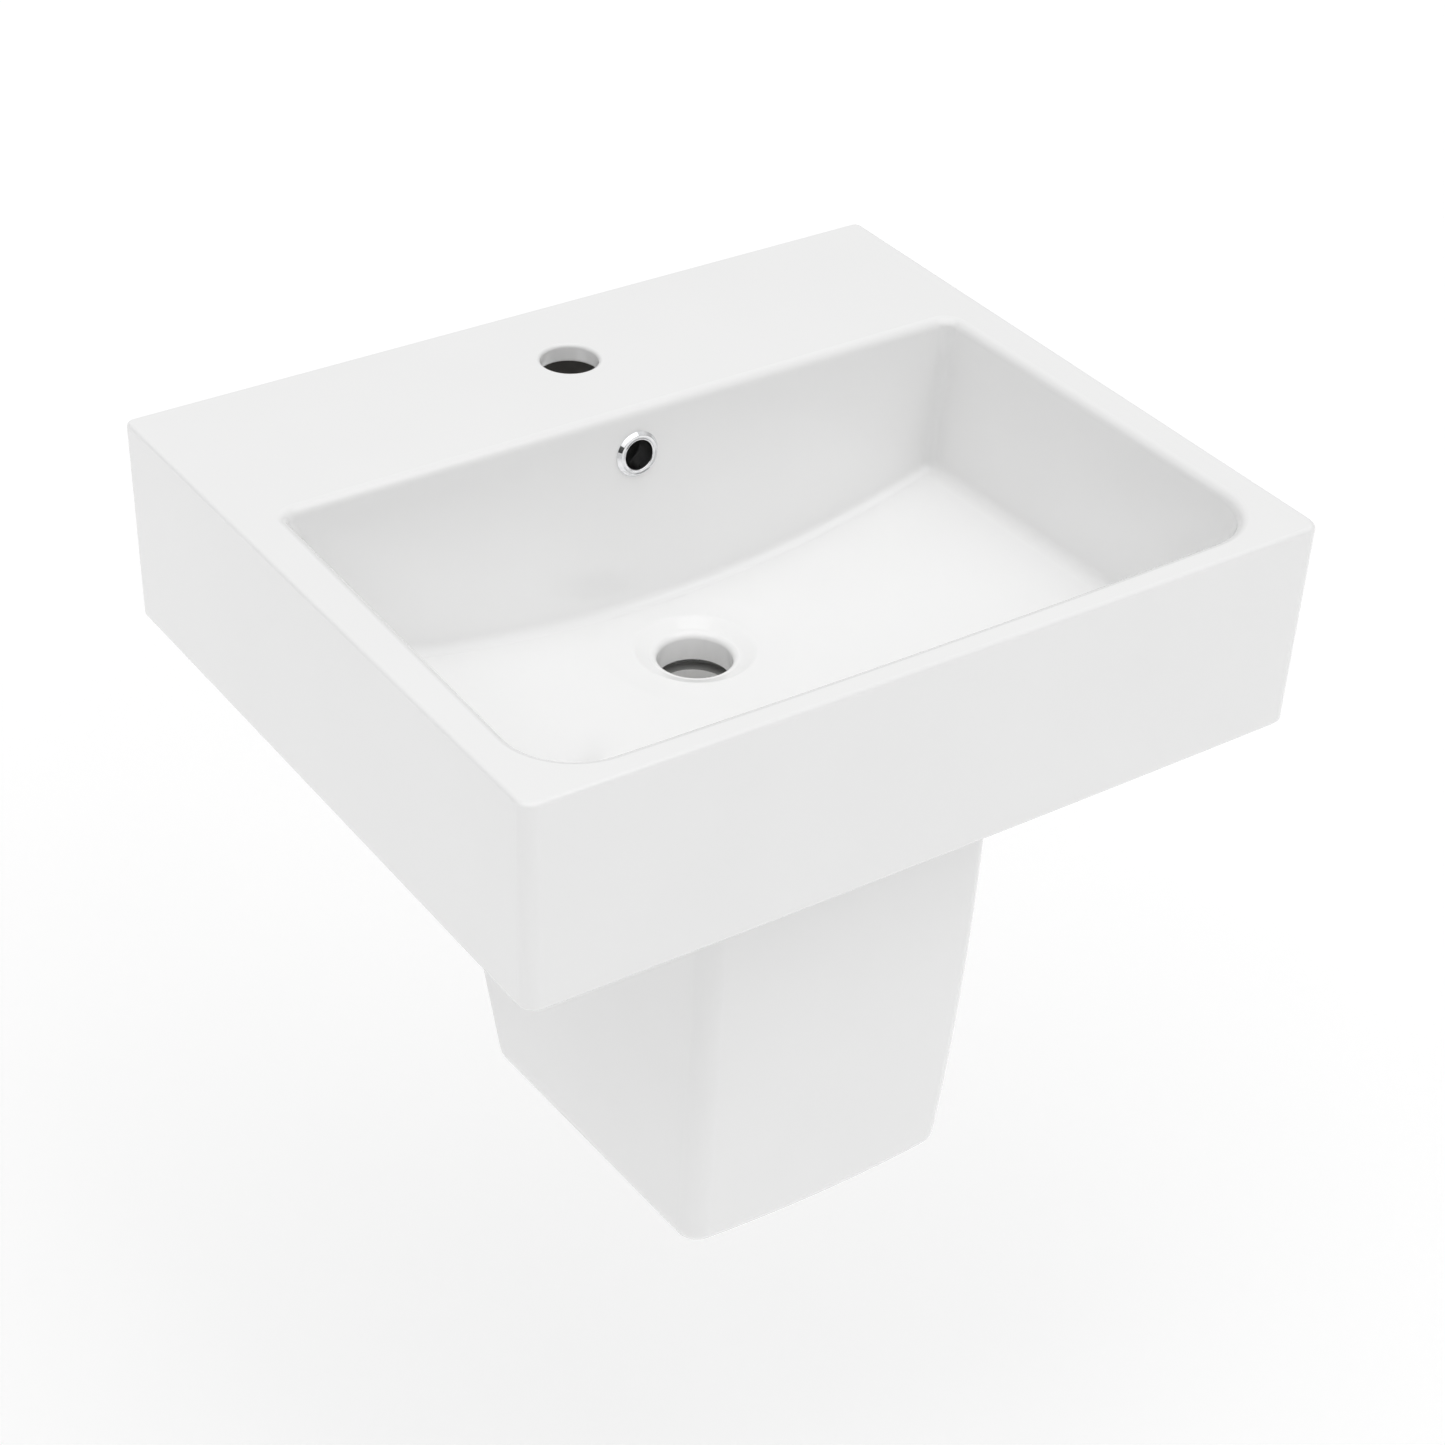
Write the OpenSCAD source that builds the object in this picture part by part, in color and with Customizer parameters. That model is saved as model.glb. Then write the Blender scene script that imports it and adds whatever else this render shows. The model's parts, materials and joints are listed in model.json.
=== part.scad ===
// Wall-hung rectangular basin on a half pedestal.
// Millimetres, +Z up. The wall is the plane y = 0 and the basin reaches towards -Y.
// x = 0 is the plane of symmetry, and z = 0 is the height of the basin's two wall bolts.

/* [Basin] */
// Width across the rim
basin_w = 520; // [500:5:600]
// Reach from the wall to the front face
basin_d = 440; // [430:5:480]
// Height of the four outer faces
basin_h = 132; // [128:1:140]
// Radius of the two front corners, seen from above
basin_corner_r = 9; // [6:1:14]
// Thickness of the fired china
china_t = 10; // [9:0.5:11]
// Thickness of the deck under the tap
deck_t = 12; // [10:0.5:14]
// Thickness of the panel that stands against the wall
panel_t = 14; // [12:0.5:18]

/* [Bowl] */
// Depth of the deck, from the wall to the bowl
deck_d = 136; // [130:1:145]
// Width of the rim beside the bowl, at the back
side_rim = 30; // [26:1:36]
// Width of the rim in front of the bowl
front_rim = 20; // [18:1:26]
// Depth of the bowl on its centre line
bowl_h = 126.7; // [120:0.1:128]
// How much the floor rises from the centre line to the side walls
floor_rise = 29; // [20:1:32]
// Radius between the floor and the walls
floor_r = 6; // [5:0.5:8]
// Radius between the rim and the walls
rim_r = 7; // [5:0.5:8]

/* [Holes] */
// Diameter of the tap hole
tap_d = 35; // [32:0.5:38]
// Distance of the tap hole from the wall
tap_y = 63; // [58:1:70]
// Diameter of the waste outlet
waste_d = 45; // [42:0.5:46]
// Distance of the waste outlet from the wall
waste_y = 206; // [200:1:215]
// Diameter of the overflow hole
overflow_d = 24; // [22:0.5:26]
// Depth of the overflow hole below the rim
overflow_z = 28; // [26:1:40]

/* [Half pedestal] */
// Depth of its lower end below the rim
pedestal_z = 443; // [420:1:470]
// Half width of the front face at the top
pedestal_half_w = 100.5; // [96:0.5:104]
// Distance of the front face from the wall at the top
pedestal_y = 373; // [366:1:380]
// Thickness of its china
pedestal_t = 11; // [10:0.5:12]
// Distance of its rear edges from the wall at the top
rear_top_y = 58; // [50:1:62]
// Distance of its rear edges from the wall at the bottom
rear_low_y = 150; // [130:1:160]

/* [Fixings] */
// Distance between the two basin bolts
bolt_spacing = 280; // [240:10:300]
// Depth of the basin bolts below the rim
bolt_z = 70; // [60:1:80]
// Distance between the two pedestal studs
stud_spacing = 150; // [140:2:156]
// Depth of the pedestal studs below the rim
stud_z = 205; // [195:1:215]

/* [Hidden] */
$fn = 96;
SIDES = [-1, 1];
ENDS = ["rear", "front"];

china = "whitesmoke";
slack = 1;               // how far a cutter runs past the face it opens
big = 1000;              // a length beyond every part

// basin shell
shell_r = 3;             // radius of its top and bottom edges
side_draft = 2.7 / 129;  // lean of the side faces
front_draft = 1 / 129;   // lean of the front face
front_bow = 1.5;         // the front face swells by this much at its middle
pocket_r = 6;            // corner radius of the hollow underneath

// bowl walls: how far each leans inwards per millimetre of depth
side_lean = 16 / 110;
back_lean = 12 / 127;
front_lean = 14 / 120;
opening_front_w = 6;     // the opening is this much wider at each side at its front
opening_bow = 3.5;       // its front edge swells by this much
back_corner_r = 8;
front_corner_r = 38;
floor_edge_x = 211;      // where the floor meets the side walls

// the floor is part of a large cylinder that lies along Y
floor_arc_r = (floor_edge_x * floor_edge_x + floor_rise * floor_rise) / (2 * floor_rise);
floor_arc_z = floor_arc_r - bowl_h;

// waste outlet
dish_r = 36;             // radius of the shallow dish around it
floor_end_r = 20;        // the floor's own surface ends inside the outlet
dish_h = 4;
outlet_edge_r = 4.5;
boss_r = 40;
boss_z = 172;            // its lower face, below the rim
gap_r = 31;              // the ring-shaped overflow chamber around the outlet
gap_top_z = 149;
gap_low_z = 156.5;

// overflow channel
duct_half_w = 28;
duct_hole_half_w = 20;
duct_y = 108;            // its rear face
duct_hole_y = [116, 127];
duct_low_z = 167;

// wall bosses and ribs of the basin
wall_boss_r = 24;
wall_boss_t = 20;
sleeve_hole_d = 16;
rib_x = 95;
rib_t = 9;
rib_z = 62;
tap_edge_r = 2.5;

// half pedestal
pedestal_top_z = 120;    // above its finished top edge
pedestal_narrowing = 6.5;
pedestal_setback = 15;
pedestal_curve = 2.2;    // the higher, the nearer the bottom the faces turn in
pedestal_splay = 0.027;  // the sides part by this much per millimetre towards the wall
pedestal_corner_r = 14;
pedestal_edge_r = 12;
pedestal_bow = 4;
pedestal_back_y = 30;    // the rough shell runs back to here before its rear is cut
pad_t = 2;
pad_size = [7, 30];
pad_y = [182, 330];
lug_y = [84, 98];
lug_half_h = 27;
lug_in_x = 54;
lug_hole_d = 14;

// basin fixing set, M10
m10_r = 5;
m10_end_y = 44;
m10_nut = [17, 8];       // across flats, height
basin_plug = [7, 70];    // radius, length
basin_washer_size = [15, 2.5];
sleeve_shoulder = [13, 4];
cap_size = [12.6, 20.5];

// pedestal fixing set, M8
m8_r = 4;
m8_end_y = 120;
m8_nut = [13, 6.5];
pedestal_plug = [6, 60];
pedestal_washer_size = [11, 1.6];
bush_shoulder = [11, 3];
bore_play = 0.2;         // clearance of a bolt in washers and sleeves

function side_name(s) = s < 0 ? "left" : "right";
function lerp(a, b, t) = a + (b - a) * t;

// Outline of a four-sided shape with rounded corners, anticlockwise from above.
// half: half widths at the back and the front. y: places of the back and the front.
// r: corner radii at the back and the front. bow: swelling of the front side.
arc_steps = 6;
cross_steps = 8;
depth_steps = 3;
function corner_centre(q, half, y, r) = let(back = q < 2, k = back ? 0 : 1)
    [(q == 0 || q == 3 ? 1 : -1) * (half[0] - r[k]), back ? y[0] - r[0] : y[1] + r[1]];
function corner_point(q, a, half, y, r) = let(k = q < 2 ? 0 : 1)
    corner_centre(q, half, y, r) + r[k] * [cos(90 * q + a), sin(90 * q + a)];
function plain_outline(half, y, r) = [for (q = [0:3])
    let(steps = q % 2 == 0 ? cross_steps : depth_steps,
        from = corner_point(q, 90, half, y, r), to = corner_point((q + 1) % 4, 0, half, y, r))
    each concat(
        [for (k = [0:arc_steps]) corner_point(q, 90 * k / arc_steps, half, y, r)],
        [for (k = [1:steps - 1]) lerp(from, to, k / steps)])];
function outline(half, y, r, bow = 0) = [for (p = plain_outline(half, y, r))
    let(t = (y[0] - p.y) / (y[0] - y[1]), u = p.x / half[0])
    [u * lerp(half[0], half[1], t), p.y - bow * (1 - u * u) * t]];
function at_height(points, z) = [for (p = points) [p.x, p.y, z]];

// Mean of a ring's points
function middle(ring) = [for (k = [0:2]) mean([for (p = ring) p[k]])];
function mean(values) = [for (v = values) 1] * values / len(values);

// A closed solid through rings that hold the same number of points, from the highest down.
// A fan of triangles about the middle of the first and the last ring closes each end.
module loft(rings) {
    n = len(rings[0]);
    last = len(rings) - 1;
    top = n * len(rings);
    polyhedron(
        points = concat([for (ring = rings) each ring], [middle(rings[0]), middle(rings[last])]),
        faces = concat(
            [for (i = [0:n - 1]) [(i + 1) % n, i, top]],
            [for (k = [0:last - 1]) for (i = [0:n - 1]) let(j = (i + 1) % n, a = k * n, b = a + n)
                each [[a + i, a + j, b + j], [a + i, b + j, b + i]]],
            [for (i = [0:n - 1]) [last * n + i, last * n + (i + 1) % n, top + 1]]));
}

// Ring of the basin's outer faces at a depth below the rim, drawn in by inset
function shell_ring(depth, inset) = let(half = basin_w / 2 - side_draft * depth - inset)
    at_height(outline([half, half], [2 * basin_corner_r, -basin_d + front_draft * depth + inset],
        [basin_corner_r, basin_corner_r], front_bow), -depth);

edge_steps = 4;
module shell() {
    low = basin_h;
    intersection() {
        loft(concat(
            [for (k = [0:edge_steps]) let(a = 90 * k / edge_steps)
                shell_ring(shell_r * (1 - cos(a)), shell_r * (1 - sin(a)))],
            [for (k = [0:edge_steps]) let(a = 90 * k / edge_steps)
                shell_ring(low - shell_r * (1 - sin(a)), shell_r * (1 - cos(a)))]));
        translate([-big / 2, -big, -big / 2])
            cube(big);
    }
}

// Outline of the bowl at a depth, grown outwards on every side
function bowl_outline(depth, grow) = let(
        back_half = basin_w / 2 - side_rim - side_lean * depth + grow,
        back = -deck_d - back_lean * depth + grow,
        front = -basin_d + front_rim + front_lean * depth - grow)
    outline([back_half, back_half + opening_front_w], [back, front],
        [max(back_corner_r + grow, 3), front_corner_r + grow], opening_bow);

// Height of the floor at x, lowered by t to give the outside of the china
function floor_height(x, t = 0) = floor_arc_z - sqrt(pow(floor_arc_r + t, 2) - x * x);

// Ring on the bowl's walls. share runs from 0 at the rim to 1 at the floor, lift is the height
// left above the floor, and t is how far the ring stands outside the bowl's own surface.
lean_depth = 100;
function wall_ring(share, lift, grow, t = 0) = let(
        top = bowl_outline(0, grow), deep = bowl_outline(lean_depth, grow))
    [for (i = [0:len(top) - 1]) let(z = share * (floor_height(deep[i].x, t) + lift),
        p = lerp(top[i], deep[i], -z / lean_depth)) [p.x, p.y, z]];

// Ring on the floor. share runs from 0 at the edge to 1 at a circle inside the outlet
function floor_ring(share, grow, t) = let(
        edge = wall_ring(1, 0, grow, t), n = len(edge))
    [for (i = [0:n - 1]) let(p = edge[i], d = p - [0, -waste_y, p.z],
        c = [0, -waste_y] + floor_end_r * [d.x, d.y] / norm([d.x, d.y]),
        q = lerp([p.x, p.y], c, share), end = floor_height(0, t),
        z = share < 1 ? min(floor_height(q.x, t), p.z) : end) [q.x, q.y, z]];

fillet_steps = 5;
module bowl_hollow() {
    loft(concat(
        [at_height(bowl_outline(0, rim_r), slack)],
        [for (k = [0:edge_steps]) let(a = 90 * k / edge_steps)
            at_height(bowl_outline(0, rim_r * (1 - sin(a))), -rim_r * (1 - cos(a)))],
        [for (share = [0.3, 0.65]) wall_ring(share, 0, 0)],
        [for (k = [0:fillet_steps]) let(a = 90 * k / fillet_steps)
            wall_ring(1, floor_r * (1 - sin(a)), -floor_r * (1 - cos(a)))],
        [for (share = [0.33, 0.66, 1]) floor_ring(share, -floor_r, 0)]));
}

module bowl_body() {
    outer_r = floor_r + china_t;
    loft(concat(
        [at_height(bowl_outline(0, china_t), -deck_t / 2)],
        [wall_ring(0.5, 0, china_t, china_t)],
        [for (k = [0:fillet_steps]) let(a = 90 * k / fillet_steps)
            wall_ring(1, outer_r * (1 - sin(a)), china_t - outer_r * (1 - cos(a)), china_t)],
        [for (share = [0.33, 0.66, 1]) floor_ring(share, -floor_r, china_t)]));
}

// Upright block given by its x range, y range and z range
module block(x, y, z) {
    translate([x[0], y[0], z[0]])
        cube([x[1] - x[0], y[1] - y[0], z[1] - z[0]]);
}

// Disc or bar along Z from z[0] to z[1]
module upright(r, z) {
    translate([0, 0, z[0]])
        cylinder(r = r, h = z[1] - z[0]);
}

// Disc or bar along Y between two distances from the wall
module across(r, y) {
    translate([0, -y[0], 0])
        rotate([90, 0, 0])
            cylinder(r = r, h = y[1] - y[0]);
}

// The hollow between the outer faces and the bowl, open underneath
module pocket() {
    half = basin_w / 2 - china_t - 1;
    front = -basin_d + china_t + 1;
    translate([0, 0, -basin_h - slack])
        linear_extrude(basin_h + slack - deck_t)
            union() {
                translate([-half, front + pocket_r])
                    square([2 * half, -panel_t - front - 2 * pocket_r]);
                translate([-half + pocket_r, front])
                    square([2 * (half - pocket_r), -panel_t - front]);
                for (s = SIDES)
                    for (y = [front + pocket_r, -panel_t - pocket_r])
                        translate([s * (half - pocket_r), y])
                            circle(pocket_r);
            }
}

// Cutter that rounds the edge of a hole of radius r where it meets a face at z = 0
module edge_round(r, edge_r) {
    rotate_extrude()
        difference() {
            translate([r - slack, -edge_r])
                square([edge_r + slack, edge_r + slack]);
            translate([r + edge_r, -edge_r])
                circle(edge_r);
        }
}

module tap_hole() {
    translate([0, -tap_y, 0]) {
        upright(tap_d / 2, [-deck_t - slack, slack]);
        edge_round(tap_d / 2, tap_edge_r);
        translate([0, 0, -deck_t])
            mirror([0, 0, 1])
                edge_round(tap_d / 2, tap_edge_r);
    }
}

module waste_hole() {
    r = waste_d / 2;
    lip_z = bowl_h + dish_h;
    dish_slope = dish_h / (dish_r - r - outlet_edge_r);
    translate([0, -waste_y, 0]) {
        upright(r, [-boss_z - slack, -bowl_h]);
        translate([0, 0, -lip_z])
            edge_round(r, outlet_edge_r);
        rotate_extrude()
            polygon([[0, -lip_z], [r + outlet_edge_r, -lip_z], [dish_r, -bowl_h],
                [dish_r + 5, -bowl_h + 5 * dish_slope], [0, -bowl_h + 5 * dish_slope]]);
        upright(gap_r, [-gap_low_z, -gap_top_z]);
    }
}

// Stands its children on the bowl's back wall at the overflow, facing into the bowl
module on_back_wall() {
    translate([0, -deck_d - back_lean * overflow_z, -overflow_z])
        rotate([90 - atan(back_lean), 0, 0])
            children();
}

module duct_hollow() {
    block([-duct_hole_half_w, duct_hole_half_w], [-duct_hole_y[1], -duct_hole_y[0]],
        [-gap_low_z, -deck_t - china_t]);
    block([-duct_hole_half_w, duct_hole_half_w], [-waste_y, -duct_hole_y[0]],
        [-gap_low_z, -gap_top_z]);
    on_back_wall()
        upright(overflow_d / 2, [-duct_hole_y[1] + duct_hole_y[0] - china_t, 2 * slack]);
}

module basin() {
    color(china)
        translate([0, 0, bolt_z])
            difference() {
                union() {
                    difference() {
                        shell();
                        pocket();
                    }
                    bowl_body();
                    block([-duct_half_w, duct_half_w], [-deck_d - china_t, -duct_y],
                        [-duct_low_z, -deck_t / 2]);
                    block([-duct_half_w, duct_half_w], [-waste_y, -duct_y],
                        [-duct_low_z, -bowl_h - china_t / 2]);
                    translate([0, -waste_y, 0])
                        upright(boss_r, [-boss_z, -bowl_h - china_t / 2]);
                    for (s = SIDES) {
                        translate([s * bolt_spacing / 2, 0, -bolt_z])
                            across(wall_boss_r, [0, wall_boss_t]);
                        block([s * rib_x - rib_t / 2, s * rib_x + rib_t / 2],
                            [-deck_d + china_t / 2, -panel_t / 2], [-rib_z, -deck_t / 2]);
                    }
                }
                bowl_hollow();
                duct_hollow();
                tap_hole();
                waste_hole();
                for (s = SIDES)
                    translate([s * bolt_spacing / 2, 0, -bolt_z])
                        across(sleeve_hole_d / 2, [-slack, wall_boss_t + slack]);
            }
}

// Ring of the half pedestal's faces at a depth below the rim, drawn in by inset
function pedestal_ring(depth, inset) = let(
        share = max((depth - basin_h) / (pedestal_z - basin_h), 0),
        turn = pow(share, pedestal_curve),
        front = -pedestal_y + pedestal_setback * turn,
        front_half = pedestal_half_w - pedestal_narrowing * turn,
        back_half = front_half + pedestal_splay * (-pedestal_back_y - front))
    at_height(outline([back_half - inset, front_half - inset],
        [-pedestal_back_y - inset, front + inset],
        [3, max(pedestal_corner_r - inset, 4)], pedestal_bow), -depth);

pedestal_levels = 7;
module pedestal_solid(inset, low, edge_r) {
    loft(concat(
        [for (k = [0:pedestal_levels])
            pedestal_ring(lerp(pedestal_top_z, low - edge_r, k / pedestal_levels), inset)],
        [for (k = [1:edge_steps]) let(a = 90 * k / edge_steps)
            pedestal_ring(low - edge_r * (1 - sin(a)), inset + edge_r * (1 - cos(a)))]));
}

// Everything behind the pedestal's slanting rear edges
module behind_rear_edge() {
    run = rear_low_y - rear_top_y;
    fall = pedestal_z - basin_h;
    translate([-big / 2, -rear_top_y, -basin_h])
        rotate([-atan(run / fall), 0, 0])
            translate([0, 0, -big / 2])
                cube(big);
}

// A large cylinder along Y, level with the bowl's floor when t is 0
module floor_cylinder(t) {
    translate([0, big / 2, floor_arc_z])
        rotate([90, 0, 0])
            cylinder(r = floor_arc_r + t, h = big, $fn = 480);
}

module half_pedestal() {
    inner_low = pedestal_z - pedestal_t - 1;
    inner_back = -pedestal_back_y - pedestal_t - slack;
    color(china)
        translate([0, 0, bolt_z])
            difference() {
                union() {
                    difference() {
                        pedestal_solid(0, pedestal_z, pedestal_edge_r);
                        pedestal_solid(pedestal_t, inner_low, pedestal_edge_r - 2);
                        block([-80, 80], [inner_back, 0], [-inner_low, 0]);
                    }
                    intersection() {
                        pedestal_solid(2, pedestal_z, pedestal_edge_r);
                        for (s = SIDES)
                            block([min(s * lug_in_x, s * big), max(s * lug_in_x, s * big)],
                                [-lug_y[1], -lug_y[0]], [-stud_z - lug_half_h, -stud_z + lug_half_h]);
                    }
                }
                floor_cylinder(china_t + pad_t);
                behind_rear_edge();
                for (s = SIDES)
                    translate([s * stud_spacing / 2, 0, -stud_z])
                        across(lug_hole_d / 2, [lug_y[0] - slack, lug_y[1] + slack]);
            }
}

// Rubber pad between the pedestal's top edge and the bowl above it
module buffer_pad(s, e) {
    y = -pad_y[e == "rear" ? 0 : 1];
    x = s * (pedestal_half_w + pedestal_splay * (y + pedestal_y) - pedestal_t / 2);
    color("dimgray")
        translate([0, 0, bolt_z])
            intersection() {
                block([x - pad_size.x / 2, x + pad_size.x / 2],
                    [y - pad_size.y / 2, y + pad_size.y / 2], [-bowl_h - 3 * china_t, 0]);
                difference() {
                    floor_cylinder(china_t + pad_t);
                    floor_cylinder(china_t);
                }
            }
}

// Chrome trim: a rounded flange on the back wall and a neck inside the hole
ring_r = 14.25;
ring_hole_r = 9.35;
ring_t = 2.6;
neck_r = 11.3;
neck_l = 12;
groove = [10.6, 3, 6];   // radius of its floor, and its two sides along the neck
module overflow_ring() {
    color("silver")
        translate([0, 0, bolt_z])
            on_back_wall()
                rotate_extrude()
                    difference() {
                        union() {
                            translate([ring_hole_r, 0])
                                square([ring_r - ring_t / 2 - ring_hole_r, ring_t]);
                            translate([ring_r - ring_t / 2, ring_t / 2])
                                circle(ring_t / 2);
                            translate([ring_hole_r, -neck_l])
                                square([neck_r - ring_hole_r, neck_l]);
                        }
                        translate([groove[0], -groove[2]])
                            square([neck_r, groove[2] - groove[1]]);
                        translate([ring_hole_r, ring_t])
                            circle(1.4);
                    }
}

module overflow_o_ring() {
    outer = overflow_d / 2;
    color("dimgray")
        translate([0, 0, bolt_z])
            on_back_wall()
                difference() {
                    upright(outer, [-groove[2], -groove[1]]);
                    upright(groove[0], [-groove[2] - slack, -groove[1] + slack]);
                }
}

// A tube along Y: outer radius, inner radius and its two distances from the wall
module tube(outer_r, inner_r, y) {
    difference() {
        across(outer_r, y);
        across(inner_r, [y[0] - slack, y[1] + slack]);
    }
}

// Hexagon nut along Y, its size given across flats and in height
module nut(size, thread_r, y) {
    difference() {
        translate([0, -y, 0])
            rotate([90, 0, 0])
                cylinder(r = size[0] / sqrt(3), h = size[1], $fn = 6);
        across(thread_r, [y - slack, y + size[1] + slack]);
    }
}

// Places its children at a basin bolt or at a pedestal stud
module at_basin_bolt(s) {
    translate([s * bolt_spacing / 2, 0, 0])
        children();
}

module at_pedestal_stud(s) {
    translate([s * stud_spacing / 2, 0, bolt_z - stud_z])
        children();
}

// Nylon plug in the wall: a sleeve whose far end is a blunt cone
nose = 8;
module wall_plug(size, screw_r, screw_l) {
    color("lightgray")
        difference() {
            union() {
                across(size[0], [nose - size[1], 0]);
                translate([0, size[1] - nose, 0])
                    rotate([-90, 0, 0])
                        cylinder(r1 = size[0], r2 = size[0] * 0.6, h = nose);
            }
            across(screw_r, [-screw_l, slack]);
        }
}

// Bolt with a wood-screw end in the plug and a machine thread in front of the wall
screw_l = 55;
tip_l = 8;
module hanger_bolt(r, end_y) {
    screw_r = 0.92 * r;
    color("silver")
        union() {
            across(r, [0, end_y]);
            across(screw_r, [tip_l - screw_l, 0]);
            translate([0, screw_l - tip_l, 0])
                rotate([-90, 0, 0])
                    cylinder(r1 = screw_r, r2 = 0.2 * r, h = tip_l);
        }
}

sleeve_front_y = wall_boss_t + sleeve_shoulder[1];
basin_washer_y = sleeve_front_y + basin_washer_size[1];
bush_front_y = lug_y[1] + bush_shoulder[1];
pedestal_washer_y = bush_front_y + pedestal_washer_size[1];
rear_washer_y = lug_y[0] - pedestal_washer_size[1];

module basin_wall_plug(s) {
    at_basin_bolt(s)
        wall_plug(basin_plug, m10_r, screw_l + slack);
}

module basin_hanger_bolt(s) {
    at_basin_bolt(s)
        hanger_bolt(m10_r, m10_end_y);
}

module basin_bolt_sleeve(s) {
    color("gainsboro")
        at_basin_bolt(s)
            difference() {
                union() {
                    across(sleeve_hole_d / 2, [1, wall_boss_t]);
                    across(sleeve_shoulder[0], [wall_boss_t, sleeve_front_y]);
                }
                across(m10_r + bore_play, [0, sleeve_front_y + slack]);
            }
}

module basin_washer(s) {
    color("silver")
        at_basin_bolt(s)
            tube(basin_washer_size[0], m10_r + bore_play, [sleeve_front_y, basin_washer_y]);
}

module basin_nut(s) {
    color("silver")
        at_basin_bolt(s)
            nut(m10_nut, m10_r, basin_washer_y);
}

// Plastic cap that covers the nut and the bolt's end
module basin_nut_cap(s) {
    wall = 1.8;
    end_y = basin_washer_y + cap_size[1];
    color("white")
        at_basin_bolt(s)
            difference() {
                across(cap_size[0], [basin_washer_y, end_y]);
                across(cap_size[0] - wall, [basin_washer_y - slack, end_y - wall]);
            }
}

module pedestal_wall_plug(s) {
    at_pedestal_stud(s)
        wall_plug(pedestal_plug, m8_r, screw_l + slack);
}

module pedestal_hanger_bolt(s) {
    at_pedestal_stud(s)
        hanger_bolt(m8_r, m8_end_y);
}

module pedestal_stop_nut(s) {
    color("silver")
        at_pedestal_stud(s)
            nut(m8_nut, m8_r, rear_washer_y - m8_nut[1]);
}

module pedestal_rear_washer(s) {
    color("silver")
        at_pedestal_stud(s)
            tube(pedestal_washer_size[0], m8_r + bore_play, [rear_washer_y, lug_y[0]]);
}

module pedestal_bush(s) {
    color("dimgray")
        at_pedestal_stud(s)
            difference() {
                union() {
                    across(lug_hole_d / 2, lug_y);
                    across(bush_shoulder[0], [lug_y[1], bush_front_y]);
                }
                across(m8_r + bore_play, [lug_y[0] - slack, bush_front_y + slack]);
            }
}

module pedestal_front_washer(s) {
    color("silver")
        at_pedestal_stud(s)
            tube(pedestal_washer_size[0], m8_r + bore_play, [bush_front_y, pedestal_washer_y]);
}

module pedestal_front_nut(s) {
    color("silver")
        at_pedestal_stud(s)
            nut(m8_nut, m8_r, pedestal_washer_y);
}

basin();
half_pedestal();
overflow_ring();
overflow_o_ring();
for (s = SIDES) {
    side = side_name(s);
    basin_wall_plug(s);
    basin_hanger_bolt(s);
    basin_bolt_sleeve(s);
    basin_washer(s);
    basin_nut(s);
    basin_nut_cap(s);
    pedestal_wall_plug(s);
    pedestal_hanger_bolt(s);
    pedestal_stop_nut(s);
    pedestal_rear_washer(s);
    pedestal_bush(s);
    pedestal_front_washer(s);
    pedestal_front_nut(s);
    for (e = ENDS)
        buffer_pad(s, e);
}
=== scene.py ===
"""Looks of the wall-hung basin on its half pedestal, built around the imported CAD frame."""
import json
import math

import bmesh
import bpy
from mathutils import Matrix, Vector


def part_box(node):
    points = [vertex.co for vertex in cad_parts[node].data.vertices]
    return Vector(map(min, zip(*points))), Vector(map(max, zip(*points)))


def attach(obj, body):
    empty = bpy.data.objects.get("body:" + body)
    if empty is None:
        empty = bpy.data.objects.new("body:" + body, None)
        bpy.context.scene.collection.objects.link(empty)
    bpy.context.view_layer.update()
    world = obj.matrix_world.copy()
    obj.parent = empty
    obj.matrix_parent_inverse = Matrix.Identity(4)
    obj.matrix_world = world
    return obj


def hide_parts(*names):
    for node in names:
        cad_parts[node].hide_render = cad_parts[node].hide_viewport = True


MM = 0.001
HAIRLINE = 0.004 * MM  # the widest split that weld() closes
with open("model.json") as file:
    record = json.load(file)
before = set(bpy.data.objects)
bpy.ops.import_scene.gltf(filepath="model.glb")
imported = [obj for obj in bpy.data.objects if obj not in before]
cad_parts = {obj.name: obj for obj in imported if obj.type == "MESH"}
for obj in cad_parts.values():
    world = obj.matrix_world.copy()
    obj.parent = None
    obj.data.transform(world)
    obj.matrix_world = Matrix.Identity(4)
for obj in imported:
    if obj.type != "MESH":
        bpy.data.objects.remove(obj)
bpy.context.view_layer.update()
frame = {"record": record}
mounts = {m["name"]: m for m in frame["record"]["mounts"]}

# ---------------------------------------------------------------- sizes, from the frame
basin_low, basin_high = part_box("basin")
pedestal_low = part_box("half_pedestal")[0]
RIM_Z = basin_high.z
HALF_W = basin_high.x
TAP = Vector(mounts["tap_hole"]["pos_m"])
TAP_R = mounts["tap_hole"]["dims"]["r_mm"] * MM
WASTE = Vector(mounts["waste_outlet"]["pos_m"])
WASTE_R = mounts["waste_outlet"]["dims"]["r_mm"] * MM
BASIN_BOLT = Vector(mounts["basin_plug_right"]["pos_m"])
PEDESTAL_STUD = Vector(mounts["pedestal_plug_right"]["pos_m"])
SIDES = (-1, 1)
SIDE_NAME = {-1: "left", 1: "right"}

# basin shell
CHINA_T = 10 * MM
DECK_T = 12 * MM
PANEL_T = 14 * MM
APRON_H = 132 * MM
SHELL_R = 3 * MM
SHELL_CORNER_R = 9 * MM
SIDE_DRAFT = 2.7 / 129
FRONT_DRAFT = 1 / 129
FRONT_BOW = 1.5 * MM
FRONT_Y = basin_low.y + FRONT_BOW

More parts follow.
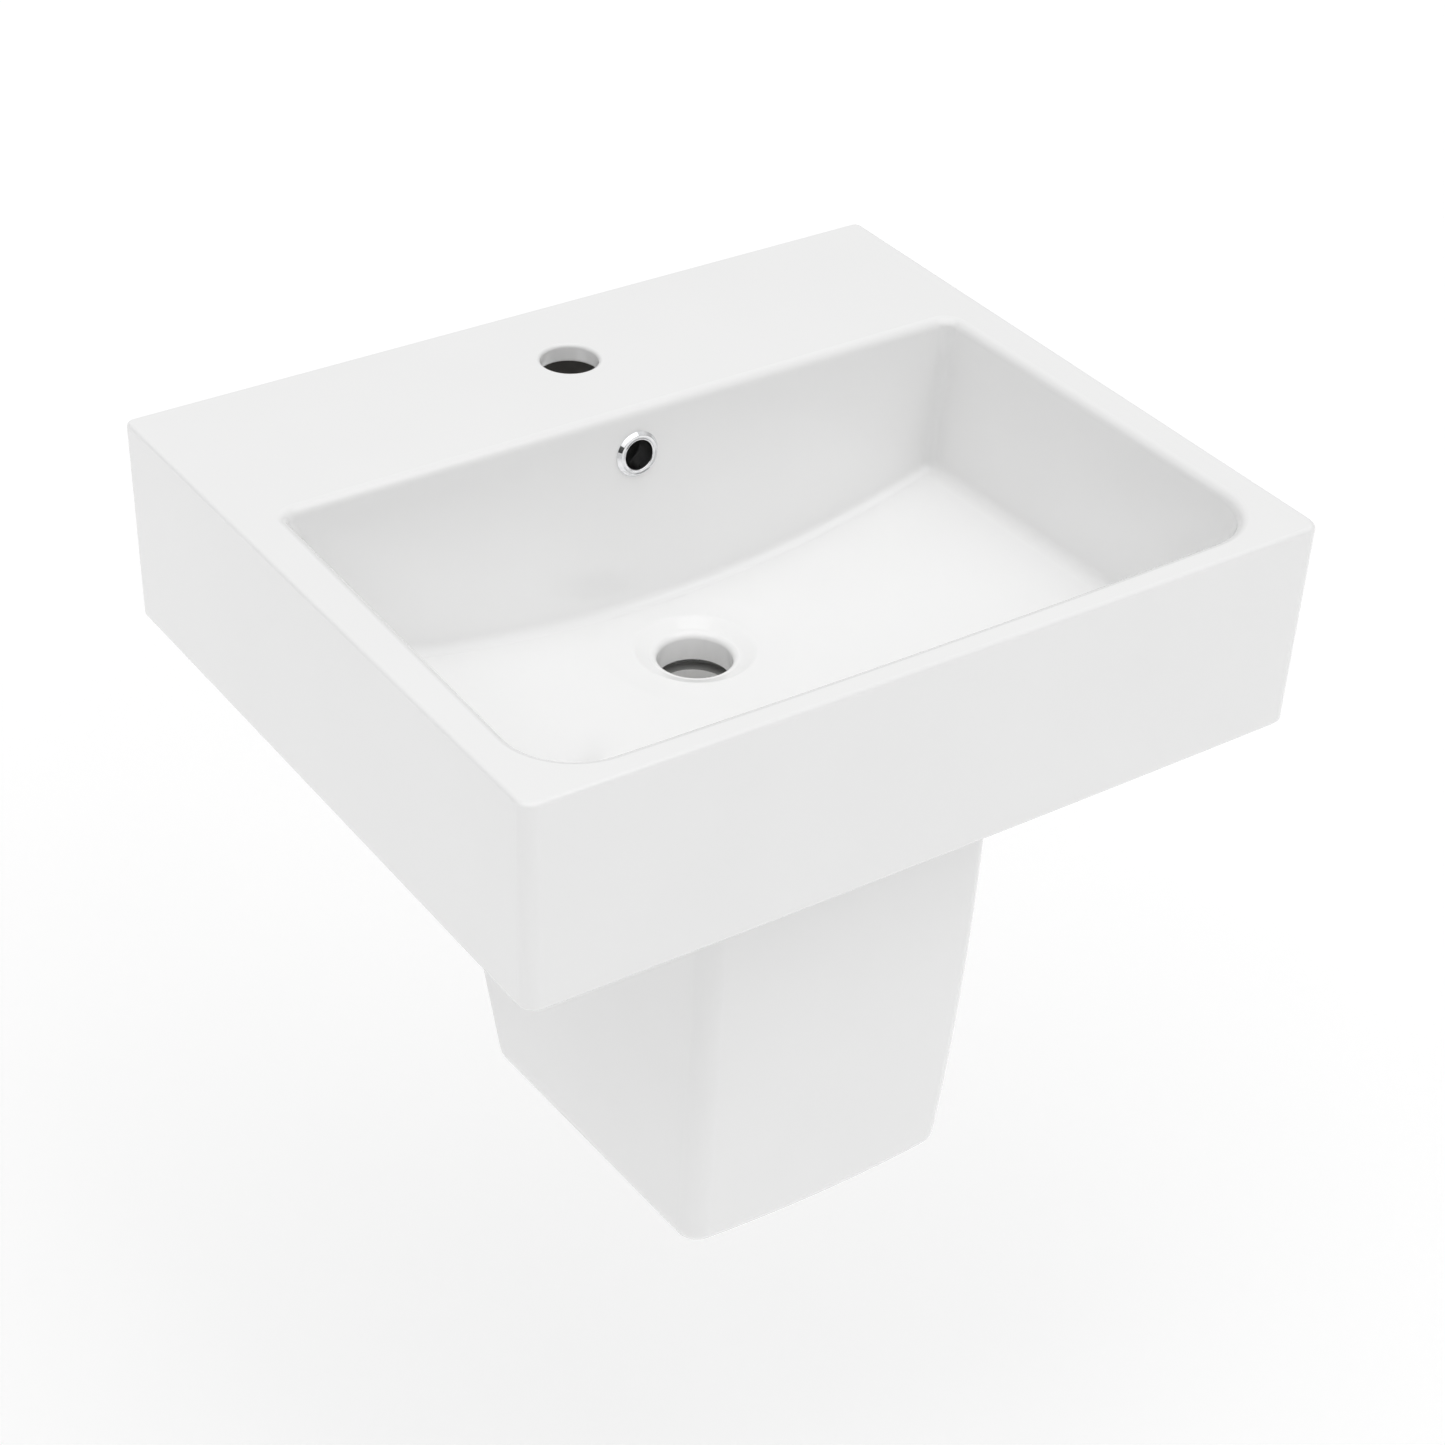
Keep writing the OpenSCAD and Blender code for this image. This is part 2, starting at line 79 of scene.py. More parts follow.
# bowl
DECK_D = 136 * MM
SIDE_RIM = 30 * MM
FRONT_RIM = 20 * MM
BOWL_H = 126.7 * MM
FLOOR_RISE = 29 * MM
FLOOR_EDGE_X = 211 * MM
FLOOR_R = 6 * MM
RIM_R = 7 * MM
SIDE_LEAN = 16 / 110
BACK_LEAN = 12 / 127
FRONT_LEAN = 14 / 120
OPENING_FLARE = 6 * MM
OPENING_BOW = 3.5 * MM
BACK_CORNER_R = 8 * MM
FRONT_CORNER_R = 38 * MM
FLOOR_ARC_R = (FLOOR_EDGE_X ** 2 + FLOOR_RISE ** 2) / (2 * FLOOR_RISE)
FLOOR_ARC_Z = FLOOR_ARC_R - BOWL_H
ROUND_R = 60 * MM  # where the floor's rings have become circles
LEVEL_R = 40 * MM  # where they have become level

# outlet, overflow and hollow parts
DISH_R = 36 * MM
DISH_H = 4 * MM
OUTLET_EDGE_R = 4.5 * MM
BOSS_R = 40 * MM
BOSS_DEPTH = RIM_Z - basin_low.z
GAP_R = 31 * MM
GAP_TOP = 149 * MM
GAP_LOW = 156.5 * MM
OVERFLOW_DEPTH = 28 * MM
OVERFLOW_R = 12 * MM
OVERFLOW_L = 22 * MM
DUCT_HALF_W = 28 * MM
DUCT_HOLE_HALF_W = 20 * MM
DUCT_HOLE = (-127 * MM, -116 * MM)
DUCT_REAR = 108 * MM
DUCT_LOW = 167 * MM
TAP_EDGE_R = 2.5 * MM
WALL_BOSS_R = 24 * MM
WALL_BOSS_T = 20 * MM
SLEEVE_HOLE_R = 8 * MM
RIB_X = 95 * MM
RIB_T = 9 * MM
RIB_DEPTH = 62 * MM

# half pedestal
PEDESTAL_DEPTH = RIM_Z - pedestal_low.z
PEDESTAL_TOP = 120 * MM
PEDESTAL_HALF_W = 100.5 * MM
PEDESTAL_FRONT = 373 * MM
PEDESTAL_T = 11 * MM
PEDESTAL_NARROWING = 6.5 * MM
PEDESTAL_SETBACK = 15 * MM
PEDESTAL_CURVE = 2.2
PEDESTAL_SPLAY = 0.027
PEDESTAL_CORNER_R = 14 * MM
PEDESTAL_EDGE_R = 12 * MM
PEDESTAL_BOW = 4 * MM
REAR_TOP = 58 * MM
REAR_LOW = 150 * MM
REAR_FLARE = 3.5 * MM
PAD_T = 2 * MM
PAD_SIZE = (7 * MM, 30 * MM)
PAD_Y = {"rear": -182 * MM, "front": -330 * MM}
LUG_Y = (84 * MM, 98 * MM)
LUG_HALF_H = 27 * MM
LUG_IN_X = 54 * MM
LUG_HOLE_R = 7 * MM

# overflow ring, along its own axis: the flange stands on the wall, the neck goes into the hole
RING_R = 14.25 * MM
RING_HOLE_R = 9.35 * MM
RING_T = 2.6 * MM
NECK_R = 11.3 * MM
NECK_L = 12 * MM
GROOVE_R = 10.6 * MM
GROOVE = (-6 * MM, -3 * MM)
FOOT_EDGE_R = 0.4 * MM
FLANGE_EDGE_R = 0.6 * MM
CREST_R = 12.2 * MM
FLUTE = ((11.3 * MM, 0.3 * MM), (10.9 * MM, 0.36 * MM), (10.5 * MM, 0.28 * MM))  # radius, depth

# fixings: distances run outwards from the wall's face, and a minus sign is inside the wall
BORE_PLAY = 0.2 * MM
SCREW_L = 55 * MM
NOSE = 8 * MM
M10_R = 5 * MM
M10_END = 44 * MM
M10_PLUG = (7 * MM, 70 * MM)
M10_NUT = (17 * MM, 8 * MM)
SHOULDER = (13 * MM, 4 * MM)
M10_WASHER = (15 * MM, 2.5 * MM)
SLEEVE_FRONT = WALL_BOSS_T + SHOULDER[1]
M10_WASHER_FRONT = SLEEVE_FRONT + M10_WASHER[1]
CAP = (12.6 * MM, 20.5 * MM)
CAP_WALL = 1.8 * MM
M8_R = 4 * MM
M8_END = 120 * MM
M8_PLUG = (6 * MM, 60 * MM)
M8_NUT = (13 * MM, 6.5 * MM)
M8_WASHER = (11 * MM, 1.6 * MM)
BUSH_SHOULDER = (11 * MM, 3 * MM)
BUSH_FRONT = LUG_Y[1] + BUSH_SHOULDER[1]
M8_WASHER_FRONT = BUSH_FRONT + M8_WASHER[1]
REAR_WASHER_BACK = LUG_Y[0] - M8_WASHER[1]


# ---------------------------------------------------------------- outlines and rings
ARC_STEPS = 12
CROSS_STEPS = 28
DEEP_STEPS = 18
CROSSING = 8


def lerp(a, b, t):
    return a + (b - a) * t


def swing(steps, start=0.0):
    """Angles from start degrees to a right angle."""
    return [math.radians(lerp(start, 90, k / steps)) for k in range(steps + 1)]


def corner_centre(q, half, y, r):
    k = 0 if q < 2 else 1
    side = 1 if q in (0, 3) else -1
    return Vector((side * (half[0] - r[k]), y[0] - r[0] if k == 0 else y[1] + r[1]))


def outline(half, y, r, bow=0.0, arc=ARC_STEPS, cross=CROSS_STEPS, deep=DEEP_STEPS):
    """A rounded four-sided outline, anticlockwise from above: half widths, places and corner radii
    at the back and the front. bow is how far the front swells."""
    def on_corner(q, degrees):
        a = math.radians(90 * q + degrees)
        return corner_centre(q, half, y, r) + r[0 if q < 2 else 1] * Vector((math.cos(a), math.sin(a)))

    points = []
    for q in range(4):
        points += [on_corner(q, 90 * n / arc) for n in range(arc + 1)]
        steps = cross if q % 2 == 0 else deep
        end = on_corner((q + 1) % 4, 0)
        points += [lerp(points[-1], end, n / steps) for n in range(1, steps)] if steps > 1 else []
    return [bowed(p, half, y, bow) for p in points]


def bowed(p, half, y, bow):
    t = (y[0] - p.y) / (y[0] - y[1])
    u = p.x / half[0]
    return Vector((u * lerp(half[0], half[1], t), p.y - bow * (1 - u * u) * t))


def at_depth(points, depth):
    return [Vector((p.x, p.y, RIM_Z - depth)) for p in points]


# ---------------------------------------------------------------- mesh building
def loft(rings):
    """A closed mesh through rings of equal length, from the highest down, with flat ends."""
    bm = bmesh.new()
    rows = [[bm.verts.new(p) for p in ring] for ring in rings]
    n = len(rows[0])
    for upper, lower in zip(rows, rows[1:]):
        for i in range(n):
            j = (i + 1) % n
            bm.faces.new((upper[i], lower[i], lower[j], upper[j]))
    bm.faces.new(rows[0])
    bm.faces.new(reversed(rows[-1]))
    return bm


def revolve(profile, steps=96):
    """A closed mesh about Z. profile holds (radius, height) from one point of the axis to another,
    or a loop that stays off the axis. A radius may be a function of the angle and the height."""
    bm = bmesh.new()
    turn = [2 * math.pi * k / steps for k in range(steps)]
    rows = []
    for radius, height in profile:
        if callable(radius):
            reach = [radius(a, height) for a in turn]
        elif radius > 0:
            reach = [radius] * steps
        else:
            rows.append([bm.verts.new((0, 0, height))] * steps)
            continue
        rows.append([bm.verts.new((r * math.cos(a), r * math.sin(a), height)) for r, a in zip(reach, turn)])
    on_axis = not callable(profile[0][0]) and profile[0][0] == 0
    pairs = list(zip(rows, rows[1:])) + ([] if on_axis else [(rows[-1], rows[0])])
    for upper, lower in pairs:
        for i in range(steps):
            j = (i + 1) % steps
            corners = list(dict.fromkeys((upper[i], lower[i], lower[j], upper[j])))
            if len(corners) > 2:
                bm.faces.new(corners)
    bmesh.ops.recalc_face_normals(bm, faces=bm.faces)
    return bm


def eased(corners, r):
    """A closed outline of (radius, height) corners with each corner turned into a short curve."""
    steps = 4
    points = [Vector(c) for c in corners]
    shaped = []
    for before, corner, after in zip(points[-1:] + points, points, points[1:] + points[:1]):
        back, on = before - corner, after - corner
        cut = min(r, 0.45 * back.length, 0.45 * on.length)
        start, end = corner + cut * back.normalized(), corner + cut * on.normalized()
        for k in range(steps + 1):
            t = k / steps
            shaped.append((1 - t) ** 2 * start + 2 * t * (1 - t) * corner + t * t * end)
    return [tuple(p) for p in shaped]


def tube(inner_r, outer_r, low, high, edge):
    """A ring about Z with eased edges."""
    return revolve(eased([(inner_r, low), (outer_r, low), (outer_r, high), (inner_r, high)], edge))


def block(x, y, z, edge=0.0):
    """A box, its edges rounded when edge is given."""
    bm = bmesh.new()
    bmesh.ops.create_cube(bm, size=1)
    size = Vector((x[1] - x[0], y[1] - y[0], z[1] - z[0]))
    centre = Vector((x[0] + x[1], y[0] + y[1], z[0] + z[1])) / 2
    placed(bm, Matrix.Translation(centre) @ Matrix.Diagonal((*size, 1)))
    if edge:
        bmesh.ops.bevel(bm, geom=list(bm.edges), offset=edge, segments=3, profile=0.5, affect="EDGES")
    return bm


def placed(bm, matrix):
    bmesh.ops.transform(bm, matrix=matrix, verts=bm.verts)
    return bm


def along_y(x, z):
    """Turns a shape along Z to point away from the wall, from (x, z) on its face."""
    return Matrix.Translation((x, 0, z)) @ Matrix.Rotation(math.radians(90), 4, "X")


def to_object(name, bm):
    mesh = bpy.data.meshes.new(name)
    bm.to_mesh(mesh)
    bm.free()
    thing = bpy.data.objects.new(name, mesh)
    bpy.context.scene.collection.objects.link(thing)
    return thing


def combine(target, bm, operation):
    """Joins bm to target, or cuts it away, and keeps the result as target's own mesh."""
    tool = to_object("tool", bm)
    step = target.modifiers.new("combine", "BOOLEAN")
    step.object = tool
    step.operation = operation
    step.solver = "EXACT"
    bpy.context.view_layer.update()
    graph = bpy.context.evaluated_depsgraph_get()
    result = bpy.data.meshes.new_from_object(target.evaluated_get(graph))
    target.modifiers.clear()
    old = target.data
    target.data = result
    bpy.data.meshes.remove(old)
    bpy.data.meshes.remove(tool.data)


def weld(thing):
    """Closes the hairline splits and drops the slivers that cuts leave behind."""
    bm = bmesh.new()
    bm.from_mesh(thing.data)
    bmesh.ops.remove_doubles(bm, verts=bm.verts, dist=HAIRLINE)
    bmesh.ops.dissolve_degenerate(bm, edges=bm.edges, dist=HAIRLINE)
    bmesh.ops.holes_fill(bm, edges=[e for e in bm.edges if e.is_boundary])
    bm.to_mesh(thing.data)
    bm.free()


def finish_piece(thing, node, materials, sharp=35):
    """Smooth shading that keeps true creases, the materials, and the piece's place in the frame."""
    mesh = thing.data
    mesh.name = thing.name
    for face in mesh.polygons:
        face.use_smooth = True
    mesh.set_sharp_from_angle(angle=math.radians(sharp))
    weight = thing.modifiers.new("weighted_normals", "WEIGHTED_NORMAL")
    weight.keep_sharp = True
    weight.weight = 80
    mesh.materials.clear()
    for material in materials:
        mesh.materials.append(material)
    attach(thing, "root")
    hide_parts(node)


# ---------------------------------------------------------------- materials
NOISE_SPAN = (0.3, 0.7)  # the part of 0 to 1 that a noise texture really uses
BISQUE_TONES = ((0.68, 0.665, 0.63), (0.73, 0.715, 0.685))


def new_material(name):
    material = bpy.data.materials.new(name)
    material.use_nodes = True
    nodes = material.node_tree.nodes
    return material, nodes, material.node_tree.links, nodes["Principled BSDF"]


def noise(nodes, links, scale, detail, stretch=None):
    place = nodes.new("ShaderNodeTexCoord")
    texture = nodes.new("ShaderNodeTexNoise")
    texture.inputs["Scale"].default_value = scale
    texture.inputs["Detail"].default_value = detail
    source = place.outputs["Object"]
    if stretch:
        shape = nodes.new("ShaderNodeMapping")
        shape.inputs["Scale"].default_value = stretch
        links.new(source, shape.inputs["Vector"])
        source = shape.outputs["Vector"]
    links.new(source, texture.inputs["Vector"])
    return texture


def graded(nodes, links, value, given, wanted, smooth=False):
    """An output that goes over the range wanted while value goes over the range given."""
    ramp = nodes.new("ShaderNodeMapRange")
    ramp.interpolation_type = "SMOOTHSTEP" if smooth else "LINEAR"
    for name, number in zip(("From Min", "From Max", "To Min", "To Max"), (*given, *wanted)):
        ramp.inputs[name].default_value = number
    links.new(value, ramp.inputs["Value"])
    return ramp.outputs["Result"]


def varied(nodes, links, texture, low, high, socket):
    """Feeds socket with low to high as the texture goes from dark to light."""
    links.new(graded(nodes, links, texture.outputs["Fac"], NOISE_SPAN, (low, high)), socket)


def tinted(nodes, links, texture, dark, light, socket):
    """Feeds socket with dark to light as the texture goes from dark to light."""
    ramp = nodes.new("ShaderNodeValToRGB")
    for stop, position, colour in zip(ramp.color_ramp.elements, NOISE_SPAN, (dark, light)):
        stop.position = position
        stop.color = (*colour, 1)
    links.new(texture.outputs["Fac"], ramp.inputs["Fac"])
    links.new(ramp.outputs["Color"], socket)


def bumped(nodes, links, texture, strength, distance, shader, below=None):
    """Gives shader the texture's relief, on top of the relief below."""
    bump = nodes.new("ShaderNodeBump")
    bump.inputs["Strength"].default_value = strength
    bump.inputs["Distance"].default_value = distance
    links.new(texture.outputs["Fac"], bump.inputs["Height"])
    if below:
        links.new(below.outputs["Normal"], bump.inputs["Normal"])
    links.new(bump.outputs["Normal"], shader.inputs["Normal"])
    return bump


def glazed_china(name, dark, light):
    """Deep glaze: almost even in colour, with the slow waves and fine peel of fired glaze."""
    material, nodes, links, shader = new_material(name)
    tinted(nodes, links, noise(nodes, links, 9, 2), dark, light, shader.inputs["Base Color"])
    varied(nodes, links, noise(nodes, links, 35, 4), 0.10, 0.15, shader.inputs["Roughness"])
    shader.inputs["IOR"].default_value = 1.5
    shader.inputs["Coat Weight"].default_value = 0.35
    shader.inputs["Coat Roughness"].default_value = 0.06
    waves = bumped(nodes, links, noise(nodes, links, 14, 1), 0.25, 0.4 * MM, shader)
    bumped(nodes, links, noise(nodes, links, 420, 2), 0.04, 0.05 * MM, shader, waves)
    return material


def bare_china(name, dark, light):
    """Fired china without glaze: dull, grainy and a little mottled."""
    material, nodes, links, shader = new_material(name)
    tinted(nodes, links, noise(nodes, links, 22, 5), dark, light, shader.inputs["Base Color"])
    varied(nodes, links, noise(nodes, links, 160, 3), 0.78, 0.95, shader.inputs["Roughness"])
    shader.inputs["Specular IOR Level"].default_value = 0.2
    casting = bumped(nodes, links, noise(nodes, links, 60, 3), 0.35, 0.3 * MM, shader)
    bumped(nodes, links, noise(nodes, links, 1400, 2), 0.5, 0.08 * MM, shader, casting)
    return material


def dim_upwards(material, low, high, least):
    """Paints shade into the base colour by height, from all of it at low to the share least at high."""
    nodes, links = material.node_tree.nodes, material.node_tree.links
    colour = nodes["Principled BSDF"].inputs["Base Color"]
    place = nodes.new("ShaderNodeTexCoord")
    height = nodes.new("ShaderNodeSeparateXYZ")
    links.new(place.outputs["Object"], height.inputs["Vector"])
    share = graded(nodes, links, height.outputs["Z"], (low, high), (1, least), smooth=True)
    product = nodes.new("ShaderNodeVectorMath")
    product.operation = "SCALE"
    links.new(colour.links[0].from_socket, product.inputs[0])
    links.new(share, product.inputs["Scale"])
    links.new(product.outputs["Vector"], colour)


def polished_chrome():
    material, nodes, links, shader = new_material("chrome_plate")
    shader.inputs["Metallic"].default_value = 1
    tinted(nodes, links, noise(nodes, links, 240, 3), (0.80, 0.81, 0.83), (0.90, 0.90, 0.91),
           shader.inputs["Base Color"])
    varied(nodes, links, noise(nodes, links, 500, 4), 0.03, 0.10, shader.inputs["Roughness"])
    bumped(nodes, links, noise(nodes, links, 300, 2), 0.05, 0.05 * MM, shader)
    return material


def zinc_plate():
    """Bright zinc on steel: satin, streaked along the turning marks, with a faint warm stain."""
    material, nodes, links, shader = new_material("zinc_plate")
    shader.inputs["Metallic"].default_value = 1
    tinted(nodes, links, noise(nodes, links, 90, 4), (0.50, 0.50, 0.49), (0.76, 0.76, 0.73),
           shader.inputs["Base Color"])
    varied(nodes, links, noise(nodes, links, 260, 4), 0.24, 0.44, shader.inputs["Roughness"])
    bumped(nodes, links, noise(nodes, links, 300, 3, (1, 7, 1)), 0.15, 0.1 * MM, shader)
    return material


def moulded_plastic(name, dark, light, rough):
    """Moulded plastic with a fine spark-eroded grain and slow flow marks."""
    material, nodes, links, shader = new_material(name)
    tinted(nodes, links, noise(nodes, links, 55, 3), dark, light, shader.inputs["Base Color"])
    varied(nodes, links, noise(nodes, links, 180, 3), rough - 0.07, rough + 0.07,
           shader.inputs["Roughness"])
    shader.inputs["IOR"].default_value = 1.48
    shader.inputs["Subsurface Weight"].default_value = 0.06
    shader.inputs["Subsurface Radius"].default_value = (2 * MM, 2 * MM, 2 * MM)
    flow = bumped(nodes, links, noise(nodes, links, 70, 1), 0.1, 0.15 * MM, shader)
    bumped(nodes, links, noise(nodes, links, 2600, 2), 0.25, 0.03 * MM, shader, flow)
    return material


def dark_rubber():
    """Black rubber with the grey bloom and the dull grain that it gets in time."""
    material, nodes, links, shader = new_material("dark_rubber")
    tinted(nodes, links, noise(nodes, links, 130, 4), (0.018, 0.018, 0.018), (0.05, 0.05, 0.048),
           shader.inputs["Base Color"])
    varied(nodes, links, noise(nodes, links, 300, 3), 0.55, 0.82, shader.inputs["Roughness"])
    shader.inputs["Sheen Weight"].default_value = 0.08
    bumped(nodes, links, noise(nodes, links, 1500, 3), 0.4, 0.05 * MM, shader)
    return material


glaze = glazed_china("glazed_china", (0.915, 0.915, 0.913), (0.93, 0.93, 0.928))
# the chamber around the outlet: glaze coloured dark grey as painted shade
glaze_with_painted_shade = glazed_china("glaze_with_painted_shade", (0.30, 0.30, 0.295), (0.40, 0.40, 0.39))
bisque = bare_china("unglazed_china", *BISQUE_TONES)
# the hollow behind the bowl: unglazed china with painted shade that darkens towards the underside of the
# deck
shadowed = bare_china("unglazed_hollow_with_painted_shade", *BISQUE_TONES)
dim_upwards(shadowed, RIM_Z - 128 * MM, RIM_Z - 70 * MM, 0.22)
# the inside of the overflow duct: unglazed china coloured near black as painted shade
painted_duct_shade = bare_china("unglazed_duct_with_painted_shade", (0.13, 0.13, 0.127), (0.18, 0.18, 0.176))
chrome = polished_chrome()
zinc = zinc_plate()
nylon = moulded_plastic("grey_nylon", (0.36, 0.37, 0.39), (0.45, 0.46, 0.48), 0.42)
white_plastic = moulded_plastic("white_plastic", (0.76, 0.76, 0.74), (0.84, 0.84, 0.82), 0.26)
rubber = dark_rubber()


# ---------------------------------------------------------------- basin
def shell_ring(depth, inset):
    half = HALF_W - SIDE_DRAFT * (depth - SHELL_R) - inset
    plan = outline((half, half), (0.0, FRONT_Y + FRONT_DRAFT * depth + inset),
                   (SHELL_R, SHELL_CORNER_R), FRONT_BOW)
    return at_depth(plan, depth)


def shell():
    rings = [shell_ring(SHELL_R * (1 - math.cos(a)), SHELL_R * (1 - math.sin(a))) for a in swing(6)]
    rings += [shell_ring(lerp(SHELL_R, APRON_H - SHELL_R, share), 0) for share in (0.25, 0.5, 0.75)]
    rings += [shell_ring(APRON_H - SHELL_R * (1 - math.sin(a)), SHELL_R * (1 - math.cos(a)))
              for a in swing(6)]
    return loft(rings)


def bowl_outline(depth, grow):
    back_half = HALF_W - SIDE_RIM - SIDE_LEAN * depth + grow
    back = -DECK_D - BACK_LEAN * depth + grow
    front = FRONT_Y + FRONT_RIM + FRONT_LEAN * depth - grow
    corner = (max(BACK_CORNER_R + grow, 3 * MM), FRONT_CORNER_R + grow)
    return outline((back_half, back_half + OPENING_FLARE), (back, front), corner, OPENING_BOW)


def floor_height(x, t=0.0):
    """Height of the floor at x below the rim, lowered by t for the outside of the china."""
    return FLOOR_ARC_Z - math.sqrt((FLOOR_ARC_R + t) ** 2 - x * x)


def wall_ring(share, lift, grow, t=0.0):
    """Ring on the bowl's walls, share of the way down to lift above the floor."""
    span = 100 * MM
    ring = []
    for top, deep in zip(bowl_outline(0, grow), bowl_outline(span, grow)):
        x = deep.x
        for _ in range(4):
            z = floor_height(x, t) + lift
            x = lerp(top.x, deep.x, -z / span)
        p = lerp(top, deep, -share * z / span)
        ring.append(Vector((p.x, p.y, RIM_Z + share * z)))
    return ring


def circle_ring(radius):
    """Points about the outlet, one for each point of an outline, at equal angles."""
    count = len(bowl_outline(0, 0))
    # the middle of an outline's back side comes after its first corner and half of that side
    middle = (2 * ARC_STEPS + CROSS_STEPS) / 2
    turn = [math.radians(90 + 360 * (i - middle) / count) for i in range(count)]
    return [Vector((WASTE.x + radius * math.cos(a), WASTE.y + radius * math.sin(a), 0)) for a in turn]


def dish_drop(distance):
    """How far the floor dips towards the outlet at a distance from its axis."""
    rim, lip, ease = DISH_R + 1 * MM, WASTE_R + OUTLET_EDGE_R, 0.12
    t = min(max((rim - distance) / (rim - lip), 0), 1)
    eased_t = t * t / (2 * ease) if t < ease else t - ease / 2
    return DISH_H * eased_t / (1 - ease / 2)


def floor_ring(share, grow, t=0.0, end_r=ROUND_R):
    """Ring of the floor, share of the way from the foot of the walls to a circle about the outlet."""
    ring = []
    for p, c in zip(wall_ring(1, 0, grow, t), circle_ring(end_r)):
        q = lerp(Vector((p.x, p.y)), Vector((c.x, c.y)), share)
        ring.append(Vector((q.x, q.y, RIM_Z + floor_height(q.x, t))))
    return ring


def dish_ring(radius):
    """Ring of the floor near the outlet, which goes from the floor's curve to a level dish."""
    level = min(max((ROUND_R - radius) / (ROUND_R - LEVEL_R), 0), 1)
    drop = dish_drop(radius)
    return [Vector((c.x, c.y, RIM_Z + lerp(floor_height(c.x), floor_height(0), level) - drop))
            for c in circle_ring(radius)]


def bowl_hollow():
    """The space cut out of the shell: rim edge, walls, floor, dish and the outlet's bore."""
    above = 0.4 * MM
    edge = [(RIM_R * (1 - math.cos(a)), RIM_R * (1 - math.sin(a))) for a in swing(8, CROSSING)]
    reach = (above + edge[0][0]) / math.tan(math.radians(CROSSING))
    rings = [at_depth(bowl_outline(0, edge[0][1] + reach), -above)]
    rings += [at_depth(bowl_outline(0, grow), depth) for depth, grow in edge]
    rings += [wall_ring(share, 0, 0) for share in (0.15, 0.3, 0.45, 0.6, 0.75, 0.86)]
    rings += [wall_ring(1, FLOOR_R * (1 - math.sin(a)), -FLOOR_R * (1 - math.cos(a))) for a in swing(10)]
    rings += [floor_ring(share, -FLOOR_R) for share in (0.06, 0.14, 0.26, 0.4, 0.55, 0.7, 0.85, 1)]
    rings += [dish_ring(r * MM) for r in (54, 48, 43, 39.5, 38, 37, 36.3, 35.6, 34.5, 33, 31, 29.5, 28)]
    lip_depth = BOWL_H + DISH_H
    for a in swing(10):
        radius = WASTE_R + OUTLET_EDGE_R * (1 - math.sin(a))
        rings.append(at_depth(circle_ring(radius), lip_depth + OUTLET_EDGE_R * (1 - math.cos(a))))
    rings.append(at_depth(circle_ring(WASTE_R), BOSS_DEPTH + 1 * MM))
    return loft(rings)


def bowl_body():
    """The china around the hollow."""
    outer_r = FLOOR_R + CHINA_T
    rings = [at_depth(bowl_outline(0, CHINA_T), DECK_T / 2)]
    rings += [wall_ring(share, 0, CHINA_T, CHINA_T) for share in (0.3, 0.6)]
    rings += [wall_ring(1, outer_r * (1 - math.sin(a)), CHINA_T - outer_r * (1 - math.cos(a)), CHINA_T)
              for a in swing(10)]
    rings += [floor_ring(share, -FLOOR_R, CHINA_T, 20 * MM) for share in (0.2, 0.45, 0.7)]
    last = floor_ring(1, -FLOOR_R, CHINA_T, 20 * MM)
    lowest = min(p.z for p in last)
    rings.append([Vector((p.x, p.y, lowest)) for p in last])
    return loft(rings)


def pocket():
    """The hollow under the deck and around the bowl, open underneath."""
    half = HALF_W - CHINA_T - 1 * MM
    front = FRONT_Y + CHINA_T + 1 * MM
    roof_r = 5 * MM

    def ring(depth, inset):
        plan = outline((half - inset, half - inset), (-PANEL_T - inset, front + inset),
                       (8 * MM, 8 * MM), arc=6, cross=12, deep=8)
        return at_depth(plan, depth)

    rings = [ring(DECK_T + roof_r * (1 - math.cos(a)), roof_r * (1 - math.sin(a))) for a in swing(4)]
    return loft(rings + [ring(APRON_H + 1 * MM, 0)])


def through_hole(radius, edge_r, length):
    """A hole's hollow about Z, from z = 0 down to -length, with both ends rounded."""
    over = 0.3 * MM
    edge = [(radius + edge_r * (1 - math.sin(a)), -edge_r * (1 - math.cos(a))) for a in swing(8, CROSSING)]
    reach = (over - edge[0][1]) / math.tan(math.radians(CROSSING))
    upper = [(edge[0][0] + reach, over)] + edge
    lower = [(r, -length - z) for r, z in reversed(upper)]
    return revolve([(0, over)] + upper + lower + [(0, -length - over)])


def disc(radius, low, high, edge=0.0, steps=96):
    """A solid disc about Z whose upper edge is rounded."""
    rim = [(radius - edge * (1 - math.cos(a)), high - edge * (1 - math.sin(a))) for a in swing(5)]
    if not edge:
        rim = [(radius, high)]
    return revolve([(0, low), (radius, low)] + rim + [(0, high)], steps)


def on_back_wall():
    """Frame at the overflow: Z points out of the back wall into the bowl."""
    spot = Vector((0, -DECK_D - BACK_LEAN * OVERFLOW_DEPTH, RIM_Z - OVERFLOW_DEPTH))
    return Matrix.Translation(spot) @ Matrix.Rotation(math.radians(90) - math.atan(BACK_LEAN), 4, "X")


def at_outlet():
    return Matrix.Translation((WASTE.x, WASTE.y, RIM_Z))


